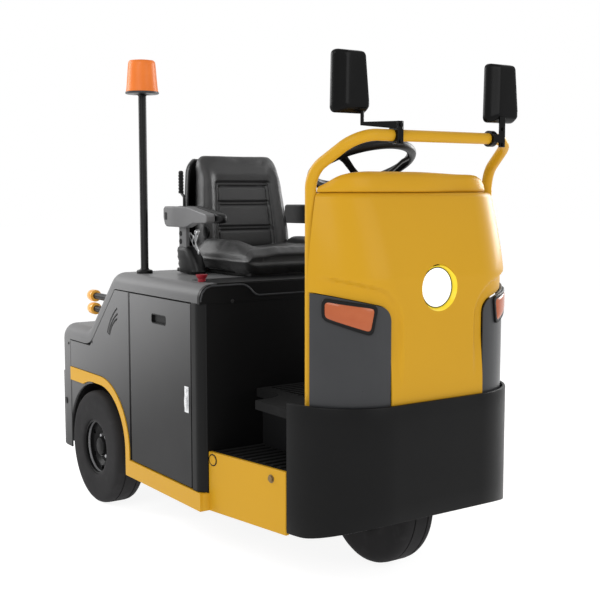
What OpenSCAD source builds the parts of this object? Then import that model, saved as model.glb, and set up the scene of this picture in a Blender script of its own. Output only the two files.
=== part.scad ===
// Airport tow tractor: three wheels, a seat over the battery box and a front cowl with a hoop rail.
// Millimetres. +X points forward, +Y to the left, +Z up. The origin is on the ground, under the middle.

/* [Overall] */
// Distance between the front and rear axles
wheelbase = 1114; // [1070:2:1200]
// Width over the rear body
body_w = 1000; // [960:10:1080]
// Front axle to the front of the bumper
nose_reach = 296; // [286:2:330]
// Rear axle to the back of the rear cover
tail_reach = 321; // [319:1:400]
// Height of the underside edge of the side panels
sill_z = 168; // [160:2:190]
// How far the tow jaw stands out behind the rear cover
hitch_reach = 78; // [70:2:110]

/* [Wheels] */
// Diameter of the tyres
tyre_d = 432; // [420:2:440]
// Width of the tyres
tyre_w = 118; // [110:2:130]
// Diameter of the rim where the tyre sits
rim_d = 206; // [196:2:216]
// Distance between the middles of the rear tyres
rear_track = 884; // [866:2:890]
// Diameter of the wheel axles
axle_d = 40; // [30:1:44]

/* [Rear body] */
// Height of the rear body's top
body_top_z = 900; // [880:5:930]
// Height of the low deck at the tail
deck_z = 668; // [650:2:690]
// Length of the low deck
deck_len = 262; // [240:2:280]
// Radius of the rear cover's long edges
shoulder_r = 45; // [30:1:50]
// Thickness of the rear cover's sheet
cover_t = 6; // [4:0.5:8]
// How far the rear cover reaches down over the sides
skirt_h = 60; // [56:1:70]
// How far the rear cover reaches round the tail
tail_skirt = 96; // [90:1:98]
// Thickness of the doors and side panels
panel_t = 25; // [22:1:28]
// Gap at the panel seams
seam = 4; // [2:0.5:6]
// Front axle back to the front wall of the seat box
box_reach = 290; // [280:2:310]
// Height of the yellow sill band
sill_h = 60; // [50:2:70]
// Height of the battery block
battery_h = 470; // [400:10:520]

/* [Doors] */
// Rear axle forward to the rear edge of the doors
door_rear = 314; // [309:1:321]
// Gap around the doors
door_gap = 5; // [5:0.5:8]
// Diameter of the door pivot pins
door_pin_d = 8; // [6:0.5:10]

/* [Wheel arch] */
// Radius of the arch corners
arch_r = 214; // [208:1:220]
// Height of the arch's top
arch_top = 467; // [455:1:475]
// Width of the yellow arch trim
trim_w = 32; // [24:1:33]

/* [Front] */
// Width of the bumper
bumper_w = 816; // [800:4:840]
// Radius of the bumper corners
bumper_r = 240; // [220:5:250]
// Height of the bumper's lower edge at its sides
bumper_z = 177; // [170:1:200]
// Height of the bumper's lower edge at the nose
bumper_nose_z = 222; // [200:2:230]
// Length over which the bumper's lower edge rises
bumper_sweep = 120; // [90:2:150]
// Height of the bumper's upper edge
bumper_top = 574; // [565:1:590]
// Thickness of the bumper
bumper_t = 10; // [8:1:12]
// How far the cowl leans back from foot to top
cowl_lean = 72; // [50:2:84]
// Height where the cowl starts to lean back
cowl_bend_z = 985; // [985:5:1010]
// Corner radius of the cowl at its top
cowl_top_r = 195; // [180:5:205]
// How far each side of the cowl leans in at its top
cowl_taper = 10; // [4:1:14]
// Height of the seam below the cowl cap
cowl_top = 1190; // [1170:5:1210]
// Height of the cowl cap's front edge
cap_top = 1254; // [1235:2:1270]
// Thickness of the cowl
cowl_t = 5; // [4:0.5:8]
// Height of the dark corner panels at their inner edge
corner_top = 859; // [845:1:875]
// Width of the dark corner panels
corner_w = 215; // [205:1:225]
// Rise of the corner panels' top edge towards the side
corner_slope = 0.24; // [0.1:0.02:0.3]
// Diameter of the headlight
lamp_d = 140; // [120:2:160]
// Height of the headlight
lamp_z = 909; // [890:1:930]

/* [Floor and steps] */
// Height of the foot platform
floor_z = 550; // [540:2:560]
// Thickness of the foot platform
floor_t = 30; // [24:1:34]
// Height of the step treads
step_z = 363; // [350:1:380]
// Distance between the outer faces of the wheel house walls
house_w = 520; // [510:2:540]

/* [Hoop rail and mirrors] */
// Diameter of the hoop rail's tube
rail_d = 34; // [30:1:38]
// Height of the hoop's front bar
rail_z = 1353; // [1330:1:1380]
// How much narrower the hoop's front bar is on each side than its feet
rail_taper = 55; // [45:1:65]
// Radius of the hoop's bends
rail_bend = 90; // [60:2:96]
// Height of the middle of the mirrors
mirror_z = 1504; // [1480:2:1530]
// Width of the mirror heads
mirror_w = 122; // [106:2:130]
// Height of the mirror heads
mirror_h = 177; // [155:1:190]
// Distance of the right mirror's clamp from the corner of the hoop
mirror_right_in = 130; // [100:1:150]
// Distance of the left mirror's clamp from the corner of the hoop
mirror_left_in = 83; // [80:1:120]
// Step from the left mirror's clamp out to its strap
mirror_left_step = 26; // [22:1:30]

/* [Steering] */
// Diameter of the steering wheel
wheel_d = 360; // [340:5:380]
// Diameter of the steering wheel's rim
wheel_rim_d = 30; // [26:1:34]
// Height of the steering wheel's middle
wheel_z = 1276; // [1260:2:1300]
// Tilt of the steering wheel towards the seat, in degrees
wheel_tilt = 22.6; // [18:0.2:26]
// Diameter of the steering shaft
shaft_d = 24; // [20:1:28]
// Diameter of the king pin that the front fork turns on
king_d = 60; // [50:1:70]

/* [Seat and fittings] */
// Width of the seat cushion
seat_w = 490; // [460:5:520]
// Length of the seat cushion
seat_len = 400; // [380:5:410]
// Thickness of the seat cushion
cushion_h = 84; // [74:2:96]
// Height of the backrest's top
back_top = 1328; // [1300:2:1350]
// Height of the armrests' top
arm_z = 1139; // [1120:1:1160]
// Width of the armrests
arm_w = 74; // [60:2:80]
// Height of the beacon's top
beacon_top = 1652; // [1600:4:1700]
// Diameter of the beacon's foot
beacon_d = 118; // [100:2:130]
// Diameter of the beacon's pole
pole_d = 28; // [24:1:32]
// Diameter of the hole for the tow pin
tow_pin_d = 26; // [22:1:30]
// Height of the middle of the tow jaw
tow_z = 270; // [250:2:300]

/* [Hidden] */
front_x = (wheelbase + tail_reach + hitch_reach - nose_reach) / 2;
rear_x = front_x - wheelbase;
tail_x = rear_x - tail_reach;
nose_x = front_x + nose_reach;
box_x = front_x - box_reach;
axle_z = tyre_d / 2;
wheel_y = rear_track / 2;
half_w = body_w / 2;
skin_y = half_w - 3;
wall_y = skin_y - panel_t;
bulk_x = rear_x + door_rear - 42;
plate = 12;
sill_top = sill_z + sill_h;
skirt_z = body_top_z - skirt_h;
tray_z = sill_top - plate;
beam_z = tray_z - 60;
house_y = house_w / 2;
house_z = floor_z - floor_t;
slant_x = tail_x + deck_len;
slant_rise = body_top_z - deck_z;
crest_x = slant_x + slant_rise;
tail_bend = 64;
foot_bend = 60;
crest_bend = 80;
cover_front = box_x - plate;
arch_z = arch_top - arch_r;
arch_front_x = rear_x + 60;
arch_rear_x = rear_x - 8;
pivot_x = rear_x + door_rear + panel_t / 2;
pivot_y = skin_y - panel_t / 2;
post_x = box_x - 55;
door_front = post_x - door_gap;
door_foot = sill_top + door_gap;
door_head = skirt_z - door_gap;
cowl_half = bumper_w / 2 - bumper_t - 3;
cowl_r = bumper_r - bumper_t - 3;
cowl_rear = front_x + 140;
cowl_foot = nose_x - bumper_t - 3;
cowl_top_half = cowl_half - cowl_taper;
corner_in = cowl_half - corner_w;
house_front = nose_x - bumper_r - 20
    + sqrt(pow(bumper_r - bumper_t, 2) - pow(max(house_y - bumper_w / 2 + bumper_r, 0), 2));
liner_y = wheel_y - tyre_w / 2 - 50;
battery_y = wall_y - 52;
rail_x = front_x + 112;
rail_y = cowl_half - 45;
rail_front = nose_x - 31;
rail_half = rail_y - rail_taper;
mirror_right_y = rail_half - mirror_right_in;
mirror_left_y = rail_half - mirror_left_in;
dash_x = front_x + 112;
bumper_rear = front_x + 70;
wheel_x = front_x - 100;
hub_drop = 55;
seat_x = box_x - 130;
seat_foot = body_top_z + 20;
cushion_z = seat_foot + cushion_h;
pole_x = crest_x + 118;
fit = 0.05;
$fn = 96;

// Mirrors the children across the middle, beside the originals
module pair() {
    children();
    mirror([0, 1, 0]) children();
}

// A side plate drawn in length and height, with its outer face at distance y on the right
module side_plate(y, t) {
    translate([0, t - y, 0]) rotate([90, 0, 0]) linear_extrude(t) children();
}

// A plan with a straight back and two round front corners
module nose_plan(front, half, r, back) {
    difference() {
        translate([back, -half]) square([front - back, 2 * half]);
        for (s = [-1, 1])
            translate([front - r, s * (half - r)]) difference() {
                translate([0, s > 0 ? 0 : -r - 1]) square(r + 1);
                circle(r);
            }
    }
}

// A closed body through rings of points that all have the same count
module loft(rings) {
    n = len(rings[0]);
    m = len(rings);
    polyhedron(
        points = [for (ring = rings, p = ring) p],
        faces = concat(
            [[for (i = [n - 1 : -1 : 0]) i]],
            [for (j = [0 : m - 2], i = [0 : n - 1]) [j * n + i, j * n + (i + 1) % n, (j + 1) * n + (i + 1) % n]],
            [for (j = [0 : m - 2], i = [0 : n - 1]) [j * n + i, (j + 1) * n + (i + 1) % n, (j + 1) * n + i]],
            [[for (i = [0 : n - 1]) (m - 1) * n + i]]
        )
    );
}

function unit(v) = v / norm(v);
function spin(v, w, a) = v * cos(a) + cross(w, v) * sin(a) + w * (w * v) * (1 - cos(a));
function along(pts, i) = unit(pts[i + 1] - pts[i]);
function turn(pts, i) = acos(along(pts, i - 1) * along(pts, i));
function ring_at(p, a, b, r, n) = [for (i = [0 : n - 1]) p + r * (a * cos(i * 360 / n) + b * sin(i * 360 / n))];

// Rings of a round tube from bend i to its end; side is the direction of the rings' first point
function tube_rings(pts, r, bend, n, i, side) =
    i == len(pts) - 1 ? [ring_at(pts[i], side, cross(along(pts, i - 1), side), r, n)] :
    let (
        u = along(pts, i - 1),
        t = turn(pts, i),
        w = unit(cross(u, along(pts, i))),
        out = -bend * cross(w, u),
        c = pts[i] - u * bend * tan(t / 2) - out,
        steps = 7
    )
    concat(
        [for (j = [0 : steps]) let (a = t * j / steps)
            ring_at(c + spin(out, w, a), spin(side, w, a), spin(cross(u, side), w, a), r, n)],
        tube_rings(pts, r, bend, n, i + 1, spin(side, w, t))
    );

// A round tube through the listed points, with the given bend radius at each inner one
module bent_tube(pts, d, bend, n) {
    u = along(pts, 0);
    side = unit(cross(u, abs(u.x) > 0.9 ? [0, 1, 0] : [1, 0, 0]));
    loft(concat([ring_at(pts[0], side, cross(u, side), d / 2, n)], tube_rings(pts, d / 2, bend, n, 1, side)));
}

// A straight rod between two points
module rod(a, b, d) {
    u = unit(b - a);
    translate(a) rotate([0, acos(u.z), atan2(u.y, u.x)]) cylinder(d = d, h = norm(b - a));
}

// The shape of the wheel arch, grown by g, as seen from the side
module arch_shape(g) {
    for (x = [arch_front_x, arch_rear_x])
        translate([x, arch_z]) circle(arch_r + g);
    translate([arch_rear_x, 0]) square([arch_front_x - arch_rear_x, arch_top + g]);
    translate([arch_rear_x - arch_r - g, 0]) square([arch_front_x - arch_rear_x + 2 * (arch_r + g), arch_z]);
}

// Base frame: side beams, battery tray, bulkhead, wheel house, rear wheel liners and door pivots
module chassis_frame() {
    color([0.10, 0.10, 0.11]) {
        pair() {
            translate([bulk_x - plate, -house_y - 50, beam_z])
                cube([bumper_rear - 20 - bulk_x + plate, 50, tray_z - beam_z]);
            translate([box_x, -house_y, beam_z]) cube([bumper_rear - box_x, 10, house_z - beam_z]);
            translate([box_x, -house_y, bumper_nose_z + 20])
                cube([house_front - box_x, 10, house_z - bumper_nose_z - 20]);
            translate([tail_x + cover_t, 16 - liner_y, axle_z + 44]) cube([bulk_x - tail_x - cover_t, 50, 60]);
            translate([bulk_x, 20 - wall_y, skirt_z + 3]) cube([cover_front - bulk_x, 30, 20]);
            translate([bulk_x, -skin_y + 6, skirt_z + 3]) cube([pivot_x + 14 - bulk_x, 50, 8]);
            translate([pivot_x, -pivot_y, door_head - 12]) cylinder(d = door_pin_d, h = skirt_z + 5 - door_head + 12);
            difference() {
                side_plate(wall_y, wall_y - liner_y + 6) difference() {
                    arch_shape(6);
                    arch_shape(0);
                    translate([tail_x - 500, 0]) square([500 + cover_t + 1, 900]);
                    translate([tail_x, 0]) square([wheelbase, sill_z + 20]);
                }
            }
            difference() {
                side_plate(liner_y, 6) difference() {
                    translate([tail_x + cover_t, sill_z + 20])
                        square([bulk_x - tail_x - cover_t, arch_top + 6 - sill_z - 20]);
                    translate([rear_x, axle_z]) circle(50);
                }
            }
        }
        translate([bulk_x, -wall_y, tray_z]) cube([cover_front - bulk_x, 2 * wall_y, plate]);
        translate([bulk_x - plate, -wall_y, beam_z]) cube([plate, 2 * wall_y, skirt_z + 23 - beam_z]);
        difference() {
            translate([box_x, -house_y, house_z - 20]) cube([house_front - box_x, house_w, 20]);
            translate([front_x, 0, house_z - 30]) cylinder(d = king_d + 2 * fit, h = 40);
        }
    }
}

// Battery under the seat, as one block
module battery() {
    color([0.16, 0.16, 0.17])
        translate([bulk_x + 30, -battery_y, sill_top]) cube([cover_front - bulk_x - 60, 2 * battery_y, battery_h]);
}

// Driven rear axle with its motor and the two wheel stubs
module rear_axle() {
    color([0.20, 0.20, 0.21]) {
        translate([rear_x, 0, axle_z]) rotate([90, 0, 0]) {
            cylinder(d = 80, h = 2 * (wheel_y - 60), center = true);
            cylinder(d = axle_d, h = 2 * (wheel_y + 28), center = true);
            cylinder(d = 210, h = 150, center = true);
        }
        for (s = [-1, 1])
            translate([rear_x - 40, s * (liner_y - 41) - 25, axle_z]) cube([80, 50, 44]);
        translate([rear_x + 60, 0, axle_z]) rotate([0, 90, 0])
            cylinder(d = 170, h = bulk_x - plate - 10 - rear_x - 60);
    }
}

// Swept cover over the tail, the slope and the seat box
function cover_arc(half, r, s) =
    [for (i = [0 : 6]) let (a = s < 0 ? 15 * i : 90 - 15 * i) [r * sin(a) - r, s * (half - r + r * cos(a))]];

// The section of the cover: depth below its top, and distance across
function cover_loop(t) = concat(
    [[-skirt_h, -skin_y]], cover_arc(skin_y, shoulder_r, -1), cover_arc(skin_y, shoulder_r, 1), [[-skirt_h, skin_y]],
    [[-skirt_h, skin_y - t]],
    [for (p = cover_arc(skin_y - t, shoulder_r - t, -1)) [p.x - t, -p.y]],
    [for (p = cover_arc(skin_y - t, shoulder_r - t, 1)) [p.x - t, -p.y]],
    [[-skirt_h, t - skin_y]]
);

// Stations along the cover's side line: place, height and heading
function cover_bend(x, z, r, from, to, steps) =
    [for (i = [0 : steps]) let (a = from + (to - from) * i / steps) [x - r * sin(a), z + r * cos(a), a]];

module rear_cover() {
    foot_cut = foot_bend * tan(22.5);
    crest_cut = crest_bend * tan(22.5);
    stations = concat(
        [[tail_x, sill_z + 4, 90]],
        cover_bend(tail_x + tail_bend, deck_z - tail_bend, tail_bend, 90, 0, 9),
        cover_bend(slant_x - foot_cut, deck_z + foot_bend, -foot_bend, 0, 45, 5),
        cover_bend(crest_x + crest_cut, body_top_z - crest_bend, crest_bend, 45, 0, 6),
        [[cover_front, body_top_z, 0]]
    );
    color([0.27, 0.28, 0.29]) {
        loft([for (q = stations) [for (p = cover_loop(cover_t)) [q[0] - sin(q[2]) * p[0], p[1], q[1] + cos(q[2]) * p[0]]]]);
        pair() translate([tail_x + skirt_h - 1, -skin_y, sill_z + 4])
            cube([tail_skirt - skirt_h + 1, cover_t, deck_z - skirt_h - sill_z - 4]);
    }
}

// Outline of a quarter panel below the cover's skirt
module quarter_outline() {
    d = skirt_h + seam;
    k = d * tan(22.5);
    polygon([
        [tail_x + tail_skirt + seam, arch_z],
        [tail_x + tail_skirt + seam, deck_z - d],
        [slant_x + k, deck_z - d],
        [crest_x + k, body_top_z - d],
        [rear_x + door_rear - door_gap, body_top_z - d],
        [rear_x + door_rear - door_gap, sill_z]
    ]);
}

// Top end and foot of each curved vent slit, from the cover's deck corner
slits = [[[278, 104], [189, 4]], [[281, 84], [199, 0]], [[277, 65], [209, -2]]];

function slit_mid(s, t) = let (c = (s[0] + s[1]) / 2 + [-16, 14])
    (1 - t) * (1 - t) * s[0] + 2 * t * (1 - t) * c + t * t * s[1];
function slit_side(s, t) = let (d = unit(slit_mid(s, t + 0.01) - slit_mid(s, t - 0.01))) [d.y, -d.x];

// Three curved slits that run together towards the foot
module vent_slits() {
    translate([slant_x, deck_z])
        for (s = slits)
            polygon(concat(
                [for (i = [0 : 8]) slit_mid(s, i / 8) + 4 * slit_side(s, i / 8)],
                [for (i = [8 : -1 : 0]) slit_mid(s, i / 8) - 4 * slit_side(s, i / 8)]
            ));
}

module quarter_panel() {
    color([0.27, 0.28, 0.29])
        side_plate(skin_y, panel_t) difference() {
            quarter_outline();
            arch_shape(trim_w + seam / 2);
            translate([tail_x, 0]) square([tail_reach, arch_top + trim_w + seam / 2]);
            translate([rear_x, 0]) square([wheelbase, sill_top + seam / 2]);
            vent_slits();
        }
}

module quarter_panel_right() {
    quarter_panel();
}

module quarter_panel_left() {
    mirror([0, 1, 0]) quarter_panel();
}

// Yellow sill band, arch edge and rear band of one side, with the lower door pivot
module side_trim() {
    side_plate(half_w, half_w - wall_y) difference() {
        union() {
            intersection() {
                arch_shape(trim_w);
                translate([tail_x + tail_skirt + seam, sill_z]) square([wheelbase, arch_top + trim_w]);
            }
            translate([tail_x + tail_skirt + seam, arch_top + trim_w - 52]) square([tail_reach - tail_skirt, 52]);
            translate([arch_front_x, sill_z]) square([box_x - arch_front_x, sill_h]);
        }
        arch_shape(0);
        translate([tail_x, 0]) square([tail_reach - 60, arch_top + trim_w - 52]);
    }
    translate([pivot_x, -pivot_y, sill_top - 1]) cylinder(d = door_pin_d, h = door_gap + 13);
}

module side_trims() {
    color([0.82, 0.62, 0.13]) pair() side_trim();
}

// Side door: turns about two pivot pins in its round rear edge
module door() {
    color([0.27, 0.28, 0.29]) difference() {
        translate([0, 0, door_foot]) linear_extrude(door_head - door_foot) {
            translate([pivot_x, -pivot_y]) circle(d = panel_t);
            translate([pivot_x, -skin_y]) square([door_front - pivot_x, panel_t]);
        }
        for (z = [door_foot - 1, door_head - 14])
            translate([pivot_x, -pivot_y, z]) cylinder(d = door_pin_d + 2 * fit, h = 15);
        translate([front_x - 620, -skin_y - 1, skirt_z - 92]) cube([100, 13, 30]);
    }
}

module door_right() {
    door();
}

module door_left() {
    mirror([0, 1, 0]) door();
}

// Front wall of the seat box, with its round corner posts
module seat_box_front() {
    color([0.08, 0.08, 0.09]) {
        difference() {
            translate([box_x - plate, -wall_y, tray_z]) cube([plate, 2 * wall_y, body_top_z - 6 - tray_z]);
            translate([box_x - plate - 1, 0, body_top_z]) rotate([90, 0, 90]) linear_extrude(plate + 2)
                polygon([[-326, 10], [-326, -5], [-314, -10], [-294, -37], [-280, -43], [280, -43], [294, -37], [314, -10], [326, -5], [326, 10]]);
        }
        pair() translate([0, 0, sill_top]) linear_extrude(skirt_z - sill_top) {
            translate([post_x, -skin_y]) square([25, panel_t]);
            translate([box_x - plate, -skin_y + 30]) square([plate, 12]);
            translate([box_x - 30, -skin_y + 30]) intersection() {
                circle(30);
                translate([0, -30]) square(30);
            }
        }
    }
}

// Angled yellow side panels under the step
module step_panels() {
    color([0.82, 0.62, 0.13]) pair()
        translate([0, 0, sill_z]) linear_extrude(step_z - sill_z)
            polygon([
                [box_x, -wall_y + 4], [box_x, 18 - wall_y],
                [bumper_rear - 4, bumper_t + 4 - bumper_w / 2], [bumper_rear - 4, -bumper_w / 2]
            ]);
}

// Step treads with the wall in front of them
module step_wells() {
    color([0.09, 0.09, 0.10]) pair() {
        translate([0, 0, step_z - 10]) linear_extrude(8)
            polygon([
                [box_x, -house_y], [box_x, 19 - wall_y],
                [bumper_rear - 4, bumper_t + 5 - bumper_w / 2], [bumper_rear - 4, -house_y]
            ]);
        translate([bumper_rear - 16, bumper_t + 20 - bumper_w / 2, step_z - 3])
            cube([12, bumper_w / 2 - bumper_t - 20 - house_y, house_z - step_z + 3]);
    }
}

// Foot platform with a rounded cut over each step
module floor_platform() {
    color([0.12, 0.12, 0.13])
        translate([0, 0, house_z]) linear_extrude(floor_t) difference() {
            nose_plan(nose_x - bumper_t - 0.3, bumper_w / 2 - bumper_t - 0.3, bumper_r - bumper_t - 0.3, box_x);
            for (s = [-1, 1]) scale([1, s]) {
                translate([box_x - 1, -bumper_w]) square([111, bumper_w - house_y - 25]);
                translate([box_x - 1, -bumper_w]) square([171, bumper_w - house_y - 85]);
                translate([box_x + 110, -house_y - 85]) circle(60);
            }
        }
}

// Brake and accelerator pedals on the platform
module pedals() {
    color([0.14, 0.14, 0.15])
        for (y = [-95, 45])
            translate([front_x - 40, y - 32, floor_z]) rotate([90, 0, 0]) mirror([0, 0, 1])
                linear_extrude(64) polygon([[0, 0], [34, 0], [86, 96], [72, 104]]);
}

// Black bumper round the front wheel, with a lower edge that rises towards the nose
module front_bumper() {
    rise = atan2(bumper_nose_z - bumper_z, bumper_sweep);
    color([0.06, 0.06, 0.065]) difference() {
        translate([0, 0, bumper_z]) linear_extrude(bumper_top - bumper_z) difference() {
            nose_plan(nose_x, bumper_w / 2, bumper_r, bumper_rear);
            nose_plan(nose_x - bumper_t, bumper_w / 2 - bumper_t, bumper_r - bumper_t, bumper_rear - 1);
        }
        translate([nose_x - bumper_sweep, -bumper_w, bumper_z]) rotate([0, -rise, 0])
            translate([0, 0, -100]) cube([500, 2 * bumper_w, 100]);
    }
}

function cowl_rise(z) = max(z - cowl_bend_z, 0) / (cowl_top - cowl_bend_z);
function cowl_x(z) = cowl_foot - cowl_lean * cowl_rise(z);
function cowl_y(z) = cowl_half - cowl_taper * cowl_rise(z);
function cowl_corner(z) = cowl_r + (cowl_top_r - cowl_r) * cowl_rise(z);

// Solid shape of the cowl, taken in by g all round: upright at first, then leaning back
module cowl_form(g, back, low, high) {
    hull()
        for (z = [low, cowl_bend_z, high])
            translate([0, 0, z == low ? z : z - 0.1]) linear_extrude(0.1)
                nose_plan(cowl_x(z) - g, cowl_y(z) - g, cowl_corner(z) - g, back);
}

// The upright lower wall of the cowl, between two depths below its outer face
module cowl_wall(outer, inner) {
    translate([0, 0, floor_z]) linear_extrude(cowl_bend_z - floor_z) difference() {
        nose_plan(cowl_foot - outer, cowl_half - outer, cowl_r - outer, cowl_rear);
        nose_plan(cowl_foot - inner, cowl_half - inner, cowl_r - inner, cowl_rear - 50);
    }
}

// Prism along the tractor over an area drawn from the front: distance to the left, and height
module front_prism() {
    rotate([90, 0, 90]) linear_extrude(2 * nose_x) children();
}

// Area of one dark corner panel seen from the front, taken in by g
module corner_area(g) {
    r = 48 - g;
    k = sqrt(1 + corner_slope * corner_slope);
    top = corner_top - g * k;
    mid = top + corner_slope * r - r * k;
    front_prism() translate([-corner_in - g, 0]) polygon(concat(
        [[0, 0]],
        [for (i = [0 : 12]) let (a = i / 12 * atan(1 / corner_slope)) [r * cos(a) - r, mid + r * sin(a)]],
        [[-bumper_w, top + bumper_w * corner_slope], [-bumper_w, 0]]
    ));
}

// Yellow cowl with a collar for the headlight, cut out for the dark corners
module nose_cowl() {
    color([0.82, 0.62, 0.13]) difference() {
        union() {
            difference() {
                cowl_form(0, cowl_rear, floor_z, cowl_top);
                cowl_form(cowl_t, cowl_rear - 50, floor_z - 1, cowl_top + 1);
            }
            translate([cowl_foot - 46, 0, lamp_z]) rotate([0, 90, 0]) cylinder(d = lamp_d + 10, h = 43.5);
        }
        pair() corner_area(0);
        translate([front_x, 0, lamp_z]) rotate([0, 90, 0]) cylinder(d = lamp_d, h = 600);
    }
}

// Dark panels in the lower corners of the cowl, set back a little
module corner_panels() {
    color([0.20, 0.20, 0.21]) pair() difference() {
        intersection() {
            cowl_wall(4, 4 + cowl_t);
            corner_area(2);
        }
        indicator_area(0.5);
    }
}

// Yellow cap that slopes down towards the driver
module cowl_cap() {
    top_x = cowl_x(cowl_top) - 20;
    back = rail_x + rail_d / 2 + 6;
    color([0.82, 0.62, 0.13]) hull() {
        translate([0, 0, cowl_top + 3]) linear_extrude(14)
            nose_plan(cowl_x(cowl_top) - 2, cowl_top_half - 2, cowl_top_r - 2, back);
        translate([top_x, 0, cap_top - 2]) rotate([0, -20, 0]) linear_extrude(2)
            nose_plan(0, cowl_top_half - 18, cowl_top_r - 18, back - top_x);
        translate([dash_x, 120 - rail_y, cowl_top + 3]) cube([20, 2 * rail_y - 240, 2]);
    }
}

// Black panel that closes the cowl towards the driver, with the steering console
module dashboard() {
    color([0.07, 0.07, 0.075]) difference() {
        union() {
            translate([dash_x, 20 - rail_y, floor_z]) cube([plate, 2 * rail_y - 40, cowl_top + 3 - floor_z]);
            translate([0, 110, 0]) rotate([90, 0, 0]) linear_extrude(220)
                polygon([
                    [dash_x + 1, floor_z], [dash_x - 14, floor_z], [dash_x - 80, floor_z + 330],
                    [dash_x - 58, cowl_top - 90], [dash_x + 1, cowl_top - 20]
                ]);
        }
        steering_axis() translate([0, 0, -480]) cylinder(d = 56.4, h = 480);
    }
}

// Places the children in the steering wheel's own frame
module steering_axis() {
    translate([wheel_x, 0, wheel_z]) rotate([0, -wheel_tilt, 0]) children();
}

// Fixed column with the shaft that the steering wheel turns on
module steering_column() {
    color([0.07, 0.07, 0.075]) steering_axis() {
        translate([0, 0, -400]) cylinder(d = 56, h = 400 - hub_drop - 24);
        translate([0, 0, -400]) cylinder(d = shaft_d, h = 400 - hub_drop + 16);
    }
}

// Steering wheel with three dished spokes
module steering_wheel() {
    ring_r = (wheel_d - wheel_rim_d) / 2;
    color([0.05, 0.05, 0.055]) steering_axis() difference() {
        union() {
            rotate_extrude() translate([ring_r, 0]) circle(d = wheel_rim_d);
            translate([0, 0, -hub_drop - 18]) cylinder(d = 76, h = 36);
            for (a = [60, 180, 300])
                rotate(a) translate([26, 0, -hub_drop]) rotate([0, 90 - atan2(hub_drop - 5, ring_r - 26), 0])
                    cylinder(d = 15, h = norm([hub_drop - 5, ring_r - 26]));
        }
        translate([0, 0, -hub_drop - 30]) cylinder(d = shaft_d + 2 * fit, h = 70);
    }
}

// Headlight: bowl and lens in one round body, set back in the cowl's collar
module headlight() {
    color([0.9, 0.9, 0.88]) translate([cowl_x(lamp_z), 0, lamp_z]) rotate([0, 90, 0]) {
        translate([0, 0, -76]) cylinder(d1 = lamp_d - 50, d2 = lamp_d - 1, h = 42);
        translate([0, 0, -34]) cylinder(d = lamp_d - 1, h = 12);
    }
}

// Slanted area of the right indicator seen from the front, grown by g
module indicator_area(g) {
    front_prism() translate([-corner_in, corner_top]) polygon([
        [-175 - g, 24 + g], [-175 - g, -26 - g], [-68 + g, -70 - g], [-55 + g, 3 + g]
    ]);
}

// Amber indicators that follow the front corners
module indicators() {
    color([0.80, 0.42, 0.18]) pair() intersection() {
        cowl_wall(1, 26);
        indicator_area(0);
    }
}

// Yellow hoop rail from the platform up and over the cowl
module handrail() {
    color([0.82, 0.62, 0.13])
        bent_tube([
            [rail_x, -rail_y, floor_z], [rail_x, -rail_y, cowl_top + 60],
            [rail_front, -rail_half, rail_z], [rail_front, rail_half, rail_z],
            [rail_x, rail_y, cowl_top + 60], [rail_x, rail_y, floor_z]
        ], rail_d, rail_bend, 24);
}

// Clamp round the hoop's bar with a flat strap up its front, that may stand to its left
module mirror_clamp(high, off) {
    translate([0, 0, rail_z]) rotate([90, 0, 0]) difference() {
        cylinder(d = rail_d + 14, h = 20, center = true);
        cylinder(d = rail_d + 0.3, h = 22, center = true);
    }
    if (off > 0) translate([rail_d / 2 + 2, -11, rail_z - 12]) cube([8, off + 4, 24]);
    translate([rail_d / 2 + 2, off - 11, rail_z - 26]) cube([8, 22, high - rail_z + 26]);
}

// Rounded head of a mirror about its middle, slanted on its left edge, taken in by g
module mirror_shell(t, g) {
    y = mirror_w / 2 - 16;
    z = mirror_h / 2 - 16;
    rotate([90, 0, 90]) linear_extrude(t) hull()
        for (p = [[-y, -z], [y, -z], [y - 18, z], [3 - y, z]])
            translate(p) circle(16 - g);
}

module mirror_head() {
    difference() {
        mirror_shell(34, 0);
        translate([-1, 0, 0]) mirror_shell(6, 6);
    }
}

// Right mirror on an arm that reaches out and back from its clamp
module mirror_right() {
    foot = [-64, -68];
    strap_x = rail_d / 2 + 6;
    color([0.05, 0.05, 0.055]) translate([rail_front, -mirror_right_y, 0]) {
        mirror_clamp(rail_z + 40, 0);
        translate([strap_x, 0, rail_z + 40]) rotate([90, 0, atan2(foot.y, foot.x - strap_x)])
            linear_extrude(7, center = true)
                polygon([[-8, -24], [-8, 0], [norm(foot - [strap_x, 0]) + 5, -1], [norm(foot - [strap_x, 0]) + 5, -11]]);
        translate([foot.x, foot.y, rail_z + 29]) cylinder(d = 11, h = mirror_z - mirror_h / 2 + 8 - rail_z - 29);
        translate([foot.x - 20, foot.y - mirror_w / 2 + 20, mirror_z]) mirror_head();
    }
}

// Left mirror on a strap to the left of its clamp
module mirror_left() {
    color([0.05, 0.05, 0.055]) translate([rail_front, mirror_left_y, 0]) {
        mirror_clamp(mirror_z - mirror_h / 2 + 4, mirror_left_step);
        translate([-12, mirror_left_step + 12, mirror_z - 14]) mirror_head();
    }
}

// Glass of both mirrors, facing the driver
module mirror_glasses() {
    color([0.7, 0.72, 0.74]) translate([rail_front + 0.6, 0, mirror_z]) {
        translate([-84, -mirror_right_y - 68 - mirror_w / 2 + 20, 0]) mirror_shell(4, 6.5);
        translate([-12, mirror_left_y + mirror_left_step + 12, -14]) mirror_shell(4, 6.5);
    }
}

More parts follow.
